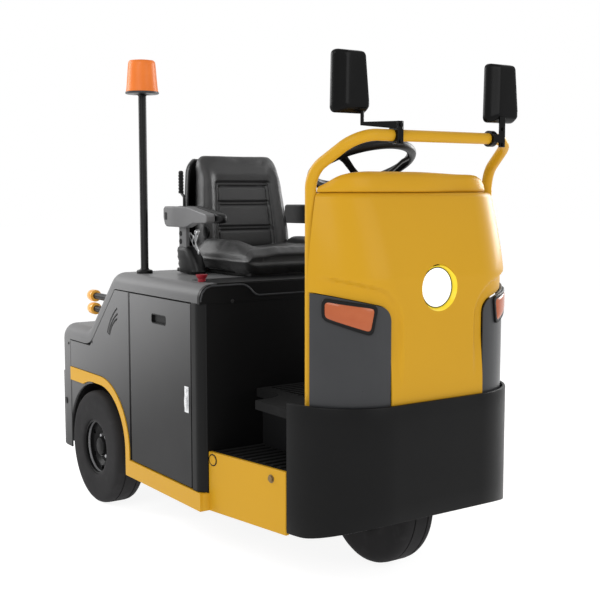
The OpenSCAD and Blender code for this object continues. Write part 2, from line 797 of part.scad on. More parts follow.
// Frame that carries the seat on the box top
module seat_base() {
    color([0.08, 0.08, 0.085]) {
        translate([seat_x - 490, 40 - seat_w / 2, body_top_z]) cube([460, seat_w - 80, seat_foot - body_top_z]);
        translate([seat_x - 470, -110, seat_foot - 1]) cube([44, 220, cushion_z - 44 - seat_foot + 1]);
        pair() translate([seat_x - 350, -seat_w / 2 - 74, body_top_z + 6]) cube([60, 115, seat_foot - body_top_z - 6]);
    }
}

function soft(c) = sign(c) * pow(abs(c), 0.5);
function puff(t) = pow(1 - pow(abs(2 * t - 1), 5), 0.4);

// Seat cushion with raised side bolsters, lofted from front to back
module seat_cushion() {
    half = seat_w / 2;
    color([0.06, 0.06, 0.06]) loft([
        for (i = [0 : 16]) let (t = i / 16, e = 0.25 + 0.75 * puff(0.004 + 0.992 * t))
            [for (k = [0 : 39]) let (
                a = 9 * k,
                y = half * (0.94 + 0.06 * e) * soft(cos(a)),
                lift = sin(a) > 0 ? 16 * pow(abs(y) / half, 4) * e : 0
            ) [
                seat_x - 6 - seat_len * t,
                -y,
                seat_foot + (cushion_h - 16) / 2 * (1 + e * max(soft(sin(a)), -1 / e)) + lift
            ]]
    ]);
}

// Tapered backrest that leans back, lofted upwards
module seat_back() {
    low = cushion_z - 44;
    color([0.06, 0.06, 0.06]) loft([
        for (i = [0 : 18]) let (
            t = i / 18,
            e = 0.35 + 0.65 * puff(0.03 + 0.965 * t),
            half = (seat_w / 2 - 36) * (1 - 0.21 * pow(t, 1.6)) * (0.8 + 0.2 * e)
        )
            [for (k = [0 : 39]) let (a = 9 * k)
                [seat_x - 448 - 52 * t + 36 * e * soft(cos(a)), half * soft(sin(a)), low + (back_top - low) * t]]
    ]);
}

// Armrest beside the seat: a post and a block with the given side outline
module armrest(outline) {
    side = seat_w / 2 + 56;
    translate([seat_x - 334, -side - 15, seat_foot]) cube([54, 30, arm_z - 70 - seat_foot]);
    translate([seat_x, arm_w / 2 - side, arm_z]) rotate([90, 0, 0]) linear_extrude(arm_w) polygon(outline);
}

module armrest_right() {
    color([0.30, 0.31, 0.32]) armrest([
        [-414, -40], [-414, -8], [-404, 0], [-236, 0], [-106, -23], [-98, -30], [-98, -48], [-106, -54],
        [-200, -58], [-256, -73], [-392, -73], [-404, -66]
    ]);
}

module armrest_left() {
    color([0.07, 0.07, 0.075]) mirror([0, 1, 0]) armrest([
        [-500, -66], [-500, -8], [-492, 0], [-170, 0], [-160, -10], [-160, -58], [-172, -70], [-492, -74]
    ]);
}

// Bent lever with a grip beside the backrest
module seat_lever() {
    color([0.06, 0.06, 0.065])
        bent_tube([
            [seat_x - 350, -seat_w / 2 - 40, arm_z], [seat_x - 350, -seat_w / 2 - 40, arm_z + 34],
            [seat_x - 412, -seat_w / 2 - 16, arm_z + 44], [seat_x - 418, -seat_w / 2 - 16, arm_z + 127]
        ], 20, 16, 16);
}

// Beacon on its pole
module beacon_pole() {
    color([0.06, 0.06, 0.065]) translate([pole_x, 0.08 * body_w - half_w, body_top_z]) {
        cylinder(d = pole_d, h = beacon_top - 107 - body_top_z);
        cylinder(d = pole_d + 30, h = 12);
        translate([0, 0, beacon_top - 119 - body_top_z]) cylinder(d = beacon_d, h = 12);
    }
}

module beacon() {
    color([0.95, 0.53, 0.20]) translate([pole_x, 0.08 * body_w - half_w, beacon_top - 107])
        rotate_extrude() polygon([
            [0, 0], [beacon_d / 2 - 3, 0], [beacon_d / 2 - 3, 8], [beacon_d / 2 - 9, 80],
            [beacon_d / 2 - 14, 98], [beacon_d / 2 - 26, 107], [0, 107]
        ]);
}

// Emergency stop button on the box top
module stop_button() {
    color([0.75, 0.08, 0.06]) translate([box_x - 100, 70 - half_w, body_top_z]) {
        cylinder(d = 26, h = 14);
        translate([0, 0, 12]) cylinder(d1 = 30, d2 = 40, h = 12);
    }
}

// Two amber lamps on each side, on necks that stand out from the rear slope
module rear_lamps() {
    color([0.85, 0.55, 0.15]) pair() difference() {
        for (z = [deck_z + 70, deck_z + 120])
            translate([slant_x - 80, 60 - half_w, z]) rotate([0, 90, 0]) {
                cylinder(d = 46, h = 46);
                cylinder(d = 26, h = 240);
            }
        translate([slant_x, -half_w, deck_z]) rotate([0, -45, 0]) translate([-200, 0, -200]) cube([600, body_w, 200]);
    }
}

// Tow jaw: two plates with a hole for a pin, on a back plate
module tow_hitch() {
    color([0.05, 0.05, 0.055]) {
        translate([tail_x - 14, -100, tow_z - 80]) cube([14, 200, 160]);
        for (z = [tow_z - 38, tow_z + 22])
            translate([0, 0, z]) linear_extrude(16) difference() {
                union() {
                    translate([tail_x - hitch_reach + 38, -38]) square([hitch_reach - 50, 76]);
                    translate([tail_x - hitch_reach + 38, 0]) circle(38);
                }
                translate([tail_x - hitch_reach + 38, 0]) circle(d = tow_pin_d);
            }
    }
}

// Fork that turns with the front wheel
module steer_fork() {
    gap = tyre_w / 2 + 16;
    color([0.16, 0.16, 0.17]) translate([front_x, 0, 0]) {
        for (s = [-1, 1])
            translate([0, s * (gap + 8) + 8, 0]) rotate([90, 0, 0]) linear_extrude(16) {
                translate([0, axle_z]) circle(45);
                translate([-45, axle_z]) square([90, house_z - 60 - axle_z]);
            }
        translate([-80, -gap - 16, house_z - 62]) cube([160, 2 * gap + 32, 18]);
        translate([0, 0, house_z - 46]) cylinder(d = 200, h = 25.5);
        translate([0, 0, house_z - 30]) cylinder(d = king_d, h = 29);
        translate([0, 0, axle_z]) rotate([90, 0, 0]) cylinder(d = axle_d, h = 2 * gap + 4, center = true);
    }
}

// Tyre about its own axis
module tyre() {
    r = tyre_d / 2;
    h = tyre_w / 2;
    b = rim_d / 2 + 0.2;
    half = [
        [b, 0], [b, h - 14], [b + 16, h - 14], [b + 24, h - 6], [b + 36, h - 2], [b + 52, h], [r - 30, h],
        [r - 20, h - 1.5], [r - 11, h - 5], [r - 5, h - 11], [r - 1.5, h - 19], [r, h - 30], [r, 0]
    ];
    n = len(half);
    other = [for (i = [n - 2 : -1 : 1]) [half[i].x, -half[i].y]];
    color([0.03, 0.03, 0.032]) rotate_extrude() polygon(concat(half, other));
}

// Pressed rim about its own axis: flanges, barrel, dished disc and a hub on the axle
module rim(offset) {
    r = rim_d / 2;
    h = tyre_w / 2 - 13.5;
    color([0.62, 0.63, 0.64]) difference() {
        union() {
            rotate_extrude() {
                polygon([
                    [r - 6, -h - 5], [r + 12, -h - 5], [r + 12, -h], [r, -h], [r, h], [r + 12, h],
                    [r + 12, h + 5], [r - 6, h + 5]
                ]);
                polygon([
                    [0, offset - 4], [0, offset + 4], [r * 0.62, offset + 4], [r * 0.76, offset + 16], [r - 4, offset + 16],
                    [r - 4, offset + 8], [r * 0.8, offset + 8], [r * 0.66, offset - 4]
                ]);
            }
            cylinder(d = axle_d + 34, h = 54, center = true);
        }
        cylinder(d = axle_d + 2 * fit, h = 80, center = true);
        for (a = [0 : 60 : 300])
            rotate(a + 30) translate([r * 0.84, 0, offset - 10]) cylinder(d = 20, h = 40, $fn = 32);
    }
}

module front_tyre() {
    translate([front_x, 0, axle_z]) rotate([90, 0, 0]) tyre();
}

module front_rim() {
    translate([front_x, 0, axle_z]) rotate([90, 0, 0]) rim(8);
}

module rear_tyre_right() {
    translate([rear_x, -wheel_y, axle_z]) rotate([90, 0, 0]) tyre();
}

module rear_rim_right() {
    translate([rear_x, -wheel_y, axle_z]) rotate([90, 0, 0]) rim(8);
}

module rear_tyre_left() {
    mirror([0, 1, 0]) rear_tyre_right();
}

module rear_rim_left() {
    mirror([0, 1, 0]) rear_rim_right();
}

chassis_frame();
battery();
rear_axle();
rear_cover();
quarter_panel_right();
quarter_panel_left();
side_trims();
door_right();
door_left();
seat_box_front();
step_panels();
step_wells();
floor_platform();
pedals();
front_bumper();
nose_cowl();
corner_panels();
cowl_cap();
dashboard();
steering_column();
steering_wheel();
headlight();
indicators();
handrail();
mirror_right();
mirror_left();
mirror_glasses();
seat_base();
seat_cushion();
seat_back();
armrest_right();
armrest_left();
seat_lever();
beacon_pole();
beacon();
stop_button();
rear_lamps();
tow_hitch();
steer_fork();
front_tyre();
front_rim();
rear_tyre_right();
rear_rim_right();
rear_tyre_left();
rear_rim_left();
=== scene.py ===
import math
import bpy
from mathutils import Matrix, Vector


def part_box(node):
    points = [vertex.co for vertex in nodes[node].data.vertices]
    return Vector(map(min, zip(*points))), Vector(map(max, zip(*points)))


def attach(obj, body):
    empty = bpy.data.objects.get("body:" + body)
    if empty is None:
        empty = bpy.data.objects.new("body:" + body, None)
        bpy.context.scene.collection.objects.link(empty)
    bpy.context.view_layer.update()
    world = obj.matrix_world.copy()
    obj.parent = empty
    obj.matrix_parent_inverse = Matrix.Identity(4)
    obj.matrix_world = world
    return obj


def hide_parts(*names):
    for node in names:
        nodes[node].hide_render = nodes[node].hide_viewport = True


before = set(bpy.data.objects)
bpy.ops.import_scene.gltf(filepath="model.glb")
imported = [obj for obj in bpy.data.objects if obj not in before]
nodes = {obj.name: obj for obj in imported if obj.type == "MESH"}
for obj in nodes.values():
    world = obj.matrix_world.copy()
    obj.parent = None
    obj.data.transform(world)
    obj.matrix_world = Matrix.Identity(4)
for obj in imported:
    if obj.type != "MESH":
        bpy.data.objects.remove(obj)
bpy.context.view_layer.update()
print("frame loaded,", len(nodes), "nodes")

tyreLow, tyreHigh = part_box("front_tyre")
frontX = (tyreLow.x + tyreHigh.x) / 2     # front axle, most places are counted from here
rearLow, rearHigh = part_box("rear_tyre_right")
rearX = (rearLow.x + rearHigh.x) / 2
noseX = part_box("front_bumper")[1].x
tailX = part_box("rear_cover")[0].x
skinY = -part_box("quarter_panel_right")[0].y
wheelR = (tyreHigh.z - tyreLow.z) / 2
quarterTurn = math.pi / 2
towardFront, towardRight = (0, quarterTurn, 0), (quarterTurn, 0, 0)     # turns that lay an upright piece down


# picking and modifiers

def clearPick():
    if bpy.context.mode != "OBJECT":
        bpy.ops.object.mode_set(mode="OBJECT")
    bpy.ops.object.select_all(action="DESELECT")


def pick(*objs):
    clearPick()
    for o in objs:
        o.select_set(True)
    bpy.context.view_layer.objects.active = objs[0]


def editAll(obj):
    pick(obj)
    bpy.ops.object.mode_set(mode="EDIT")
    bpy.ops.mesh.select_all(action="SELECT")


def useMod(obj, kind, **settings):
    pick(obj)
    mod = obj.modifiers.new(kind.lower(), kind)
    for key, value in settings.items():
        setattr(mod, key, value)
    bpy.ops.object.modifier_apply(modifier=mod.name)


def smooth(obj, angle=35):
    pick(obj)
    bpy.ops.object.shade_smooth_by_angle(angle=math.radians(angle))


def soften(obj, width, segments=2, angle=30):
    limit = math.radians(angle)
    useMod(obj, "BEVEL", width=width, segments=segments, limit_method="ANGLE", angle_limit=limit)
    smooth(obj, 40)
    useMod(obj, "WEIGHTED_NORMAL", keep_sharp=True, weight=50)


def settle(obj):
    pick(obj)
    bpy.ops.object.transform_apply(location=True, rotation=True, scale=True)


def faceOut(obj):
    editAll(obj)
    bpy.ops.mesh.remove_doubles(threshold=0.00002)
    bpy.ops.mesh.normals_make_consistent(inside=False)
    clearPick()


def sliceOff(obj, place, normal, fill=False):
    editAll(obj)
    bpy.ops.mesh.bisect(plane_co=place, plane_no=normal, clear_outer=True, use_fill=fill)
    clearPick()


def joinAll(name, parts):
    pick(*parts)
    if len(parts) > 1:
        bpy.ops.object.join()
    parts[0].name = name
    parts[0].data.name = name
    return parts[0]


def cloneOf(obj, name):
    twin = obj.copy()
    twin.data = obj.data.copy()
    twin.name = name
    bpy.context.collection.objects.link(twin)
    return twin


def mirrored(obj, name):
    twin = cloneOf(obj, name)
    twin.scale = (1, -1, 1)
    settle(twin)
    editAll(twin)
    bpy.ops.mesh.normals_make_consistent(inside=False)
    clearPick()
    return twin


def finish(obj, material, body="chassis", stands=()):
    obj.data.materials.clear()
    obj.data.materials.append(material)
    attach(obj, body)
    if stands:
        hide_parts(*stands)
    return obj


# starting shapes

def copyNode(node, name):
    clearPick()
    obj = bpy.data.objects.new(name, nodes[node].data.copy())
    bpy.context.collection.objects.link(obj)
    editAll(obj)
    bpy.ops.mesh.remove_doubles(threshold=0.00001)
    bpy.ops.mesh.dissolve_limited(angle_limit=math.radians(0.5))
    clearPick()
    return obj


def block(name, centre, size, bevel=0.0, segments=2, turn=(0, 0, 0)):
    clearPick()
    bpy.ops.mesh.primitive_cube_add(size=1, location=centre, rotation=turn)
    obj = bpy.context.object
    obj.name = name
    obj.scale = size
    settle(obj)
    if bevel:
        soften(obj, bevel, segments)
    return obj


def turned(name, profile, steps=48, place=(0, 0, 0), turn=(0, 0, 0), caps=(True, True)):
    clearPick()
    radius, height = profile[0]
    bpy.ops.mesh.primitive_circle_add(vertices=steps, radius=radius, location=(0, 0, 0))
    obj = bpy.context.object
    obj.name = name
    bpy.ops.object.mode_set(mode="EDIT")
    bpy.ops.mesh.select_all(action="SELECT")
    bpy.ops.transform.translate(value=(0, 0, height))
    if caps[0]:
        bpy.ops.mesh.edge_face_add()
        bpy.ops.mesh.select_mode(type="EDGE")
        bpy.ops.mesh.select_all(action="SELECT")
    for r, z in profile[1:]:
        bpy.ops.mesh.extrude_edges_move(TRANSFORM_OT_translate={"value": (0, 0, z - height)})
        bpy.ops.transform.resize(value=(r / radius, r / radius, 1), center_override=(0, 0, z))
        radius, height = r, z
    if caps[1]:
        bpy.ops.mesh.edge_face_add()
    bpy.ops.mesh.select_mode(type="VERT")
    bpy.ops.object.mode_set(mode="OBJECT")
    obj.location = place
    obj.rotation_euler = turn
    settle(obj)
    faceOut(obj)
    smooth(obj)
    return obj


def ringed(name, rings, closed=True, caps=True):
    # a grid is wrapped on the rings, row by row, then closed and capped
    count = len(rings[0])
    across = count + 1 if closed else count
    clearPick()
    bpy.ops.mesh.primitive_grid_add(x_subdivisions=across - 1, y_subdivisions=len(rings) - 1, size=1)
    obj = bpy.context.object
    obj.name = name
    for i, v in enumerate(obj.data.vertices):
        v.co = rings[i // across][i % across % count]
    if closed:
        editAll(obj)
        bpy.ops.mesh.remove_doubles(threshold=0.00002)
        if caps:
            bpy.ops.mesh.fill_holes(sides=0)
        clearPick()
    faceOut(obj)
    smooth(obj)
    return obj


def piped(name, points, radius, resolution=8):
    clearPick()
    curve = bpy.data.curves.new(name, "CURVE")
    curve.dimensions = "3D"
    curve.bevel_depth = radius
    curve.bevel_resolution = resolution
    curve.use_fill_caps = True
    line = curve.splines.new("POLY")
    line.points.add(len(points) - 1)
    for point, place in zip(line.points, points):
        point.co = (*place, 1)
    obj = bpy.data.objects.new(name, curve)
    bpy.context.collection.objects.link(obj)
    pick(obj)
    bpy.ops.object.convert(target="MESH")
    obj = bpy.context.object
    faceOut(obj)
    smooth(obj, 50)
    return obj


def bentLine(corners, bend, steps=14):
    out = [Vector(corners[0])]
    for a, b, c in zip(corners, corners[1:], corners[2:]):
        a, b, c = Vector(a), Vector(b), Vector(c)
        u, w = (b - a).normalized(), (c - b).normalized()
        half = math.acos(max(-1, min(1, u.dot(w)))) / 2
        cut = bend * math.tan(half)
        start, end = b - u * cut, b + w * cut
        mid = b + (w - u).normalized() * bend / math.cos(half)
        for i in range(steps + 1):
            p = start.lerp(end, i / steps) - mid
            out.append(mid + p.normalized() * bend)
    out.append(Vector(corners[-1]))
    return out


def cutWith(obj, tool, operation="DIFFERENCE"):
    useMod(obj, "BOOLEAN", object=tool, operation=operation, solver="EXACT")
    bpy.data.objects.remove(tool, do_unlink=True)


def ease(a, b, v):
    t = max(0.0, min(1.0, (v - a) / (b - a)))
    return t * t * (3 - 2 * t)


def roundTurn(count):
    return [i * 2 * math.pi / count for i in range(count)]


def squared(t, power):
    # a point of a circle, drawn out towards a square by a power under 1
    c, s = math.cos(t), math.sin(t)
    return math.copysign(abs(c) ** power, c), math.copysign(abs(s) ** power, s)


def squareRing(x, y, z, a, b, power, count):
    return [(x + a * c, y + b * s, z) for c, s in [squared(t, power) for t in roundTurn(count)]]


def bothSides(points):
    # points on the left in y and z, then their mirror on the right
    return points + [(-y, z) for y, z in reversed(points)]


def turnTo(normal):
    return Vector((0, 0, 1)).rotation_difference(Vector(normal)).to_euler()


# finishes

class Wire:
    def __init__(self, tree, socket):
        self.tree, self.socket = tree, socket

    def make(self, kind, settings=None, sockets=None, out=0):
        node = self.tree.nodes.new(kind)
        for key, value in (settings or {}).items():
            setattr(node, key, value)
        for key, value in (sockets or {}).items():
            if isinstance(value, Wire):
                self.tree.links.new(value.socket, node.inputs[key])
            else:
                node.inputs[key].default_value = value
        return Wire(self.tree, node.outputs[out])

    def sum(self, operation, a, b):
        return self.make("ShaderNodeMath", {"operation": operation}, {0: a, 1: b})

    def __add__(self, other):
        return self.sum("ADD", self, other)

    __radd__ = __add__

    def __sub__(self, other):
        return self.sum("SUBTRACT", self, other)

    def __rsub__(self, other):
        return self.sum("SUBTRACT", other, self)

    def __mul__(self, other):
        return self.sum("MULTIPLY", self, other)

    __rmul__ = __mul__

    def drive(self, node, key):
        self.tree.links.new(self.socket, node.inputs[key])


def blankFinish(name, **constants):
    material = bpy.data.materials.new(name)
    material.use_nodes = True
    tree = material.node_tree
    shader = tree.nodes["Principled BSDF"]
    for key, value in constants.items():
        shader.inputs[key.replace("_", " ")].default_value = value
    place = Wire(tree, None).make("ShaderNodeTexCoord", out=3)
    return material, shader, place


def tone(wire, dark, light):
    colours = {0: wire, 6: (*dark, 1), 7: (*light, 1)}
    return wire.make("ShaderNodeMix", {"data_type": "RGBA"}, colours, out=2)


def noise(place, scale, detail=3, roughness=0.55):
    return place.make("ShaderNodeTexNoise", sockets={
        "Vector": place, "Scale": scale, "Detail": detail, "Roughness": roughness})


def clampStep(wire, low, high):
    return wire.make("ShaderNodeMapRange", {"interpolation_type": "SMOOTHSTEP"}, {
        0: wire, 1: low, 2: high, 3: 0.0, 4: 1.0})


def bump(wire, strength, distance):
    return wire.make("ShaderNodeBump", None, {"Strength": strength, "Distance": distance, "Height": wire})


def stretched(place, scale):
    return place.make("ShaderNodeMapping", None, {"Vector": place, "Scale": scale})


def scuffs(place):
    return clampStep(noise(stretched(place, (14, 14, 2.2)), 9, 5), 0.66, 0.78)


def paintFinish(name, dark, light, rough, coat, peel, spec):
    material, shader, place = blankFinish(name, Coat_Roughness=0.12, IOR=1.5, Specular_IOR_Level=spec)
    broad, scuff = noise(place, 2.6, 4), scuffs(place)
    tone(broad * 0.8 + 0.1, dark, light).drive(shader, "Base Color")
    (broad * 0.10 + scuff * 0.10 + rough - 0.05).drive(shader, "Roughness")
    (coat - scuff * coat * 0.6).drive(shader, "Coat Weight")
    bump(noise(place, 260, 2), peel, 0.0006).drive(shader, "Normal")
    return material


def greyPaintedLightFinish(name, dark, light, rough):
    # grey paint with painted light and shade: paler towards the top and the tail, darker towards the sill and the
    # step, standing in for a light's sheen from above and behind
    material, shader, place = blankFinish(name, IOR=1.5, Specular_IOR_Level=0.09)
    axes = place.make("ShaderNodeSeparateXYZ", sockets={0: place})
    alongX = Wire(axes.tree, axes.socket.node.outputs[0])
    upZ = Wire(axes.tree, axes.socket.node.outputs[2])
    broad, scuff = noise(place, 2.2, 4), scuffs(place)
    # painted light and shade: a colour ramp, paler with height and towards the tail
    rise = clampStep(upZ - alongX * 0.42, 0.33, 1.14)
    tone(rise * 0.92 + broad * 0.16 - 0.06, dark, light).drive(shader, "Base Color")
    (broad * 0.10 + scuff * 0.08 + rough - 0.05).drive(shader, "Roughness")
    bump(noise(place, 260, 2), 0.05, 0.0006).drive(shader, "Normal")
    return material


def plasticFinish(name, dark, light, rough, grain=0.25, spec=0.18):
    material, shader, place = blankFinish(name, IOR=1.48, Specular_IOR_Level=spec)
    broad = noise(place, 5, 4)
    pits = place.make("ShaderNodeTexVoronoi", {"feature": "F1"}, {"Vector": place, "Scale": 620})
    rub = clampStep(noise(place, 38, 5), 0.58, 0.72)
    tone(broad, dark, light).drive(shader, "Base Color")
    (broad * 0.14 + rough - 0.07 - rub * 0.06).drive(shader, "Roughness")
    bump(pits, grain, 0.0004).drive(shader, "Normal")
    return material


def rubberFinish(name, dark, light, rough):
    material, shader, place = blankFinish(name, Specular_IOR_Level=0.06)
    broad, grit = noise(place, 7, 5), noise(place, 420, 3)
    dust = clampStep(noise(place, 22, 6), 0.5, 0.75)
    tone(broad * 0.6 + dust * 0.35, dark, light).drive(shader, "Base Color")
    (grit * 0.12 + rough - 0.06).drive(shader, "Roughness")
    bump(grit + broad * 0.5, 0.18, 0.0006).drive(shader, "Normal")
    return material


def leatherFinish(name, dark, light):
    material, shader, place = blankFinish(
        name, Sheen_Weight=0.05, Sheen_Roughness=0.5, IOR=1.46, Specular_IOR_Level=0.45)
    cells = place.make("ShaderNodeTexVoronoi", {"feature": "DISTANCE_TO_EDGE"}, {"Vector": place, "Scale": 330})
    creases, broad = noise(place, 46, 6, 0.62), noise(place, 6, 4)
    tone(broad, dark, light).drive(shader, "Base Color")
    (0.40 - broad * 0.12 + creases * 0.10).drive(shader, "Roughness")
    bump(clampStep(cells, 0.0, 0.22) * 0.7 + creases * 0.6, 0.28, 0.0008).drive(shader, "Normal")
    return material


def lensFinish(name, dark, light, glow, rough=0.14, ripple=0.08, spec=0.3, coat=0.35):
    material, shader, place = blankFinish(
        name, IOR=1.49, Coat_Weight=coat, Coat_Roughness=0.06, Specular_IOR_Level=spec, Emission_Strength=glow)
    broad = noise(place, 14, 3)
    ribs = place.make("ShaderNodeTexWave", {"bands_direction": "Z"}, {"Vector": place, "Scale": 60.0})
    shade = tone(broad * 0.7 + ribs * (ripple * 3), dark, light)
    shade.drive(shader, "Base Color")
    shade.drive(shader, "Emission Color")
    (broad * 0.06 + rough).drive(shader, "Roughness")
    bump(ribs, ripple, 0.0006).drive(shader, "Normal")
    return material


def metalFinish(name, dark, light, rough, metallic=1.0):
    material, shader, place = blankFinish(name, Metallic=metallic)
    brush = noise(stretched(place, (1, 1, 18)), 70, 4)
    tone(noise(place, 9, 4), dark, light).drive(shader, "Base Color")
    (brush * 0.16 + rough - 0.08).drive(shader, "Roughness")
    bump(brush, 0.06, 0.0004).drive(shader, "Normal")
    return material


yellowPaint = paintFinish("yellowPaint", (0.555, 0.293, 0.014), (0.615, 0.332, 0.018),
                          rough=0.36, coat=0.03, peel=0.05, spec=0.12)
# greyPaint carries painted light and shade on top of its own dark grey
greyPaint = greyPaintedLightFinish("greyPaint", (0.018, 0.018, 0.0185), (0.225, 0.225, 0.227), rough=0.40)
framePaint = paintFinish("framePaint", (0.005, 0.005, 0.0055), (0.011, 0.011, 0.0115),
                         rough=0.52, coat=0.03, peel=0.10, spec=0.2)
boxPaint = paintFinish("boxPaint", (0.0025, 0.0025, 0.0027), (0.005, 0.005, 0.0052),
                       rough=0.45, coat=0.03, peel=0.10, spec=0.15)
rimPaint = paintFinish("rimPaint", (0.004, 0.004, 0.0042), (0.010, 0.010, 0.0103),
                       rough=0.40, coat=0.02, peel=0.05, spec=0.10)
bumperPlastic = plasticFinish("bumperPlastic", (0.0045, 0.0045, 0.0047), (0.008, 0.008, 0.0082),
                              rough=0.40, spec=0.11)
blackPlastic = plasticFinish("blackPlastic", (0.003, 0.003, 0.0032), (0.007, 0.007, 0.0072), rough=0.36)
glossBlack = plasticFinish("glossBlack", (0.0012, 0.0012, 0.0013), (0.0025, 0.0025, 0.0026),
                           rough=0.24, grain=0.03, spec=0.12)
charcoalPlastic = plasticFinish("charcoalPlastic", (0.030, 0.031, 0.033), (0.048, 0.049, 0.052),
                                rough=0.34, grain=0.12, spec=0.25)
armPlastic = plasticFinish("armPlastic", (0.11, 0.11, 0.112), (0.155, 0.155, 0.157),
                           rough=0.42, grain=0.18, spec=0.3)
redPlastic = plasticFinish("redPlastic", (0.22, 0.010, 0.018), (0.32, 0.016, 0.028),
                           rough=0.30, grain=0.05, spec=0.3)
displayGlass = plasticFinish("displayGlass", (0.004, 0.006, 0.006), (0.010, 0.014, 0.013),
                             rough=0.12, grain=0.02, spec=0.5)
floorRubber = rubberFinish("floorRubber", (0.006, 0.006, 0.0062), (0.018, 0.018, 0.018), rough=0.72)
tyreRubber = rubberFinish("tyreRubber", (0.017, 0.0165, 0.0172), (0.038, 0.037, 0.038), rough=0.70)
seatLeather = leatherFinish("seatLeather", (0.013, 0.013, 0.0133), (0.026, 0.026, 0.0265))
brightMetal = metalFinish("brightMetal", (0.58, 0.59, 0.60), (0.80, 0.80, 0.81), rough=0.26, metallic=0.55)
boltMetal = metalFinish("boltMetal", (0.15, 0.095, 0.035), (0.24, 0.155, 0.06), rough=0.45, metallic=0.4)
darkBolt = metalFinish("darkBolt", (0.02, 0.02, 0.02), (0.05, 0.05, 0.05), rough=0.4, metallic=0.6)
lipMetal = metalFinish("lipMetal", (0.30, 0.30, 0.31), (0.44, 0.44, 0.45), rough=0.30, metallic=0.6)
mirrorGlass = metalFinish("mirrorGlass", (0.78, 0.80, 0.81), (0.86, 0.87, 0.88), rough=0.05)
amberLens = lensFinish("amberLens", (0.36, 0.075, 0.022), (0.52, 0.15, 0.058),
                       glow=0.05, rough=0.16, ripple=0.01, spec=0.25, coat=0.15)
rearLens = lensFinish("rearLens", (0.60, 0.26, 0.03), (0.92, 0.50, 0.09), glow=0.15)
beaconLens = lensFinish("beaconLens", (0.66, 0.150, 0.022), (0.80, 0.225, 0.045),
                        glow=0.10, rough=0.34, ripple=0.01, spec=0.15, coat=0.04)
clearLens = lensFinish("clearLens", (0.88, 0.88, 0.87), (0.97, 0.97, 0.96), glow=0.60)
# the headlight collar is a paler yellow than the cowl's paint and glows: painted light standing for the
# headlight's own light on it
collarPaintedGlow = lensFinish("collarPaintedGlow", (0.58, 0.43, 0.020), (0.66, 0.51, 0.030),
                      glow=0.55, rough=0.30, ripple=0.01, spec=0.2, coat=0.05)
print("finishes ready")


# body panels, dressed copies of the solids

panelDress = {
    "rear_cover": ("rearCover", 0.0015, greyPaint, "grey_paint", "chassis"),
    "quarter_panel_right": ("quarterRight", 0.002, greyPaint, "grey_paint", "chassis"),
    "quarter_panel_left": ("quarterLeft", 0.002, greyPaint, "grey_paint", "chassis"),
    "door_right": ("doorRight", 0.004, greyPaint, "grey_paint", "door_right"),
    "door_left": ("doorLeft", 0.004, greyPaint, "grey_paint", "door_left"),
    "side_trims": ("sideTrims", 0.003, yellowPaint, "yellow_paint", "chassis"),
    "step_panels": ("stepPanels", 0.003, yellowPaint, "yellow_paint", "chassis"),
    "seat_box_front": ("seatBoxFront", 0.003, boxPaint, "black_plastic", "chassis"),
    "corner_panels": ("cornerPanels", 0.0015, charcoalPlastic, "charcoal_plastic", "chassis"),
    "chassis_frame": ("chassisFrame", 0.002, framePaint, "frame_paint", "chassis"),
    "battery": ("batteryBlock", 0.008, framePaint, "frame_paint", "chassis"),
    "rear_axle": ("rearAxle", 0.003, framePaint, "frame_paint", "chassis"),
    "steer_fork": ("steerFork", 0.003, framePaint, "frame_paint", "steer_fork"),
    "tow_hitch": ("towHitch", 0.003, framePaint, "frame_paint", "chassis"),
    "step_wells": ("stepWells", 0.002, floorRubber, "floor_rubber", "chassis"),
    "floor_platform": ("floorPlatform", 0.003, floorRubber, "floor_rubber", "chassis"),
    "dashboard": ("dashConsole", 0.006, blackPlastic, "black_plastic", "chassis"),
    "steering_column": ("steeringColumn", 0.002, blackPlastic, "black_plastic", "chassis"),
    "seat_base": ("seatBase", 0.004, framePaint, "frame_paint", "chassis"),
    "stop_button": ("stopButton", 0.002, redPlastic, "red_plastic", "chassis"),
}
for node, (name, width, material, slot, body) in panelDress.items():
    piece = copyNode(node, name)
    soften(piece, width, 2, 32)
    finish(piece, material, body, (node,))

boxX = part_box("seat_box_front")[1].x
boxEnd = {
    "top": 0.8992, "half": 0.4965, "shoulder": 0.045, "low": 0.838,
    "back": boxX - 0.014, "face": boxX + 0.0012, "beadR": 0.0028,
    "bead": [
        (0.4925, 0.846), (0.4915, 0.856), (0.4860, 0.874), (0.473, 0.888), (0.452, 0.8945), (0.345, 0.8950),
        (0.330, 0.8935), (0.318, 0.8880), (0.306, 0.8790), (0.296, 0.8680), (0.286, 0.8605), (0.272, 0.8570)],
}


def endOutline():
    r, half, top = boxEnd["shoulder"], boxEnd["half"], boxEnd["top"]
    quarter = [i * math.pi / 24 for i in range(13)]
    shoulder = [(half - r + r * math.cos(a), top - r + r * math.sin(a)) for a in quarter]
    return bothSides([(half, boxEnd["low"])] + shoulder)


endPlate = ringed("boxEnd", [[(x, y, z) for y, z in endOutline()] for x in (boxEnd["back"], boxEnd["face"])])
soften(endPlate, 0.0008, 2, 40)
bead = piped("boxBead", [(boxEnd["face"], y, z) for y, z in bothSides(boxEnd["bead"])], boxEnd["beadR"], 4)
finish(bead, charcoalPlastic)
# a near-black strip over the front of the box top
mat = block("boxTopStrip", (boxX - 0.085, 0, 0.9006), (0.165, 0.860, 0.004), 0.0015)
finish(joinAll("boxEnd", [endPlate, mat]), boxPaint)
print("panels dressed")


# cowl and bumper

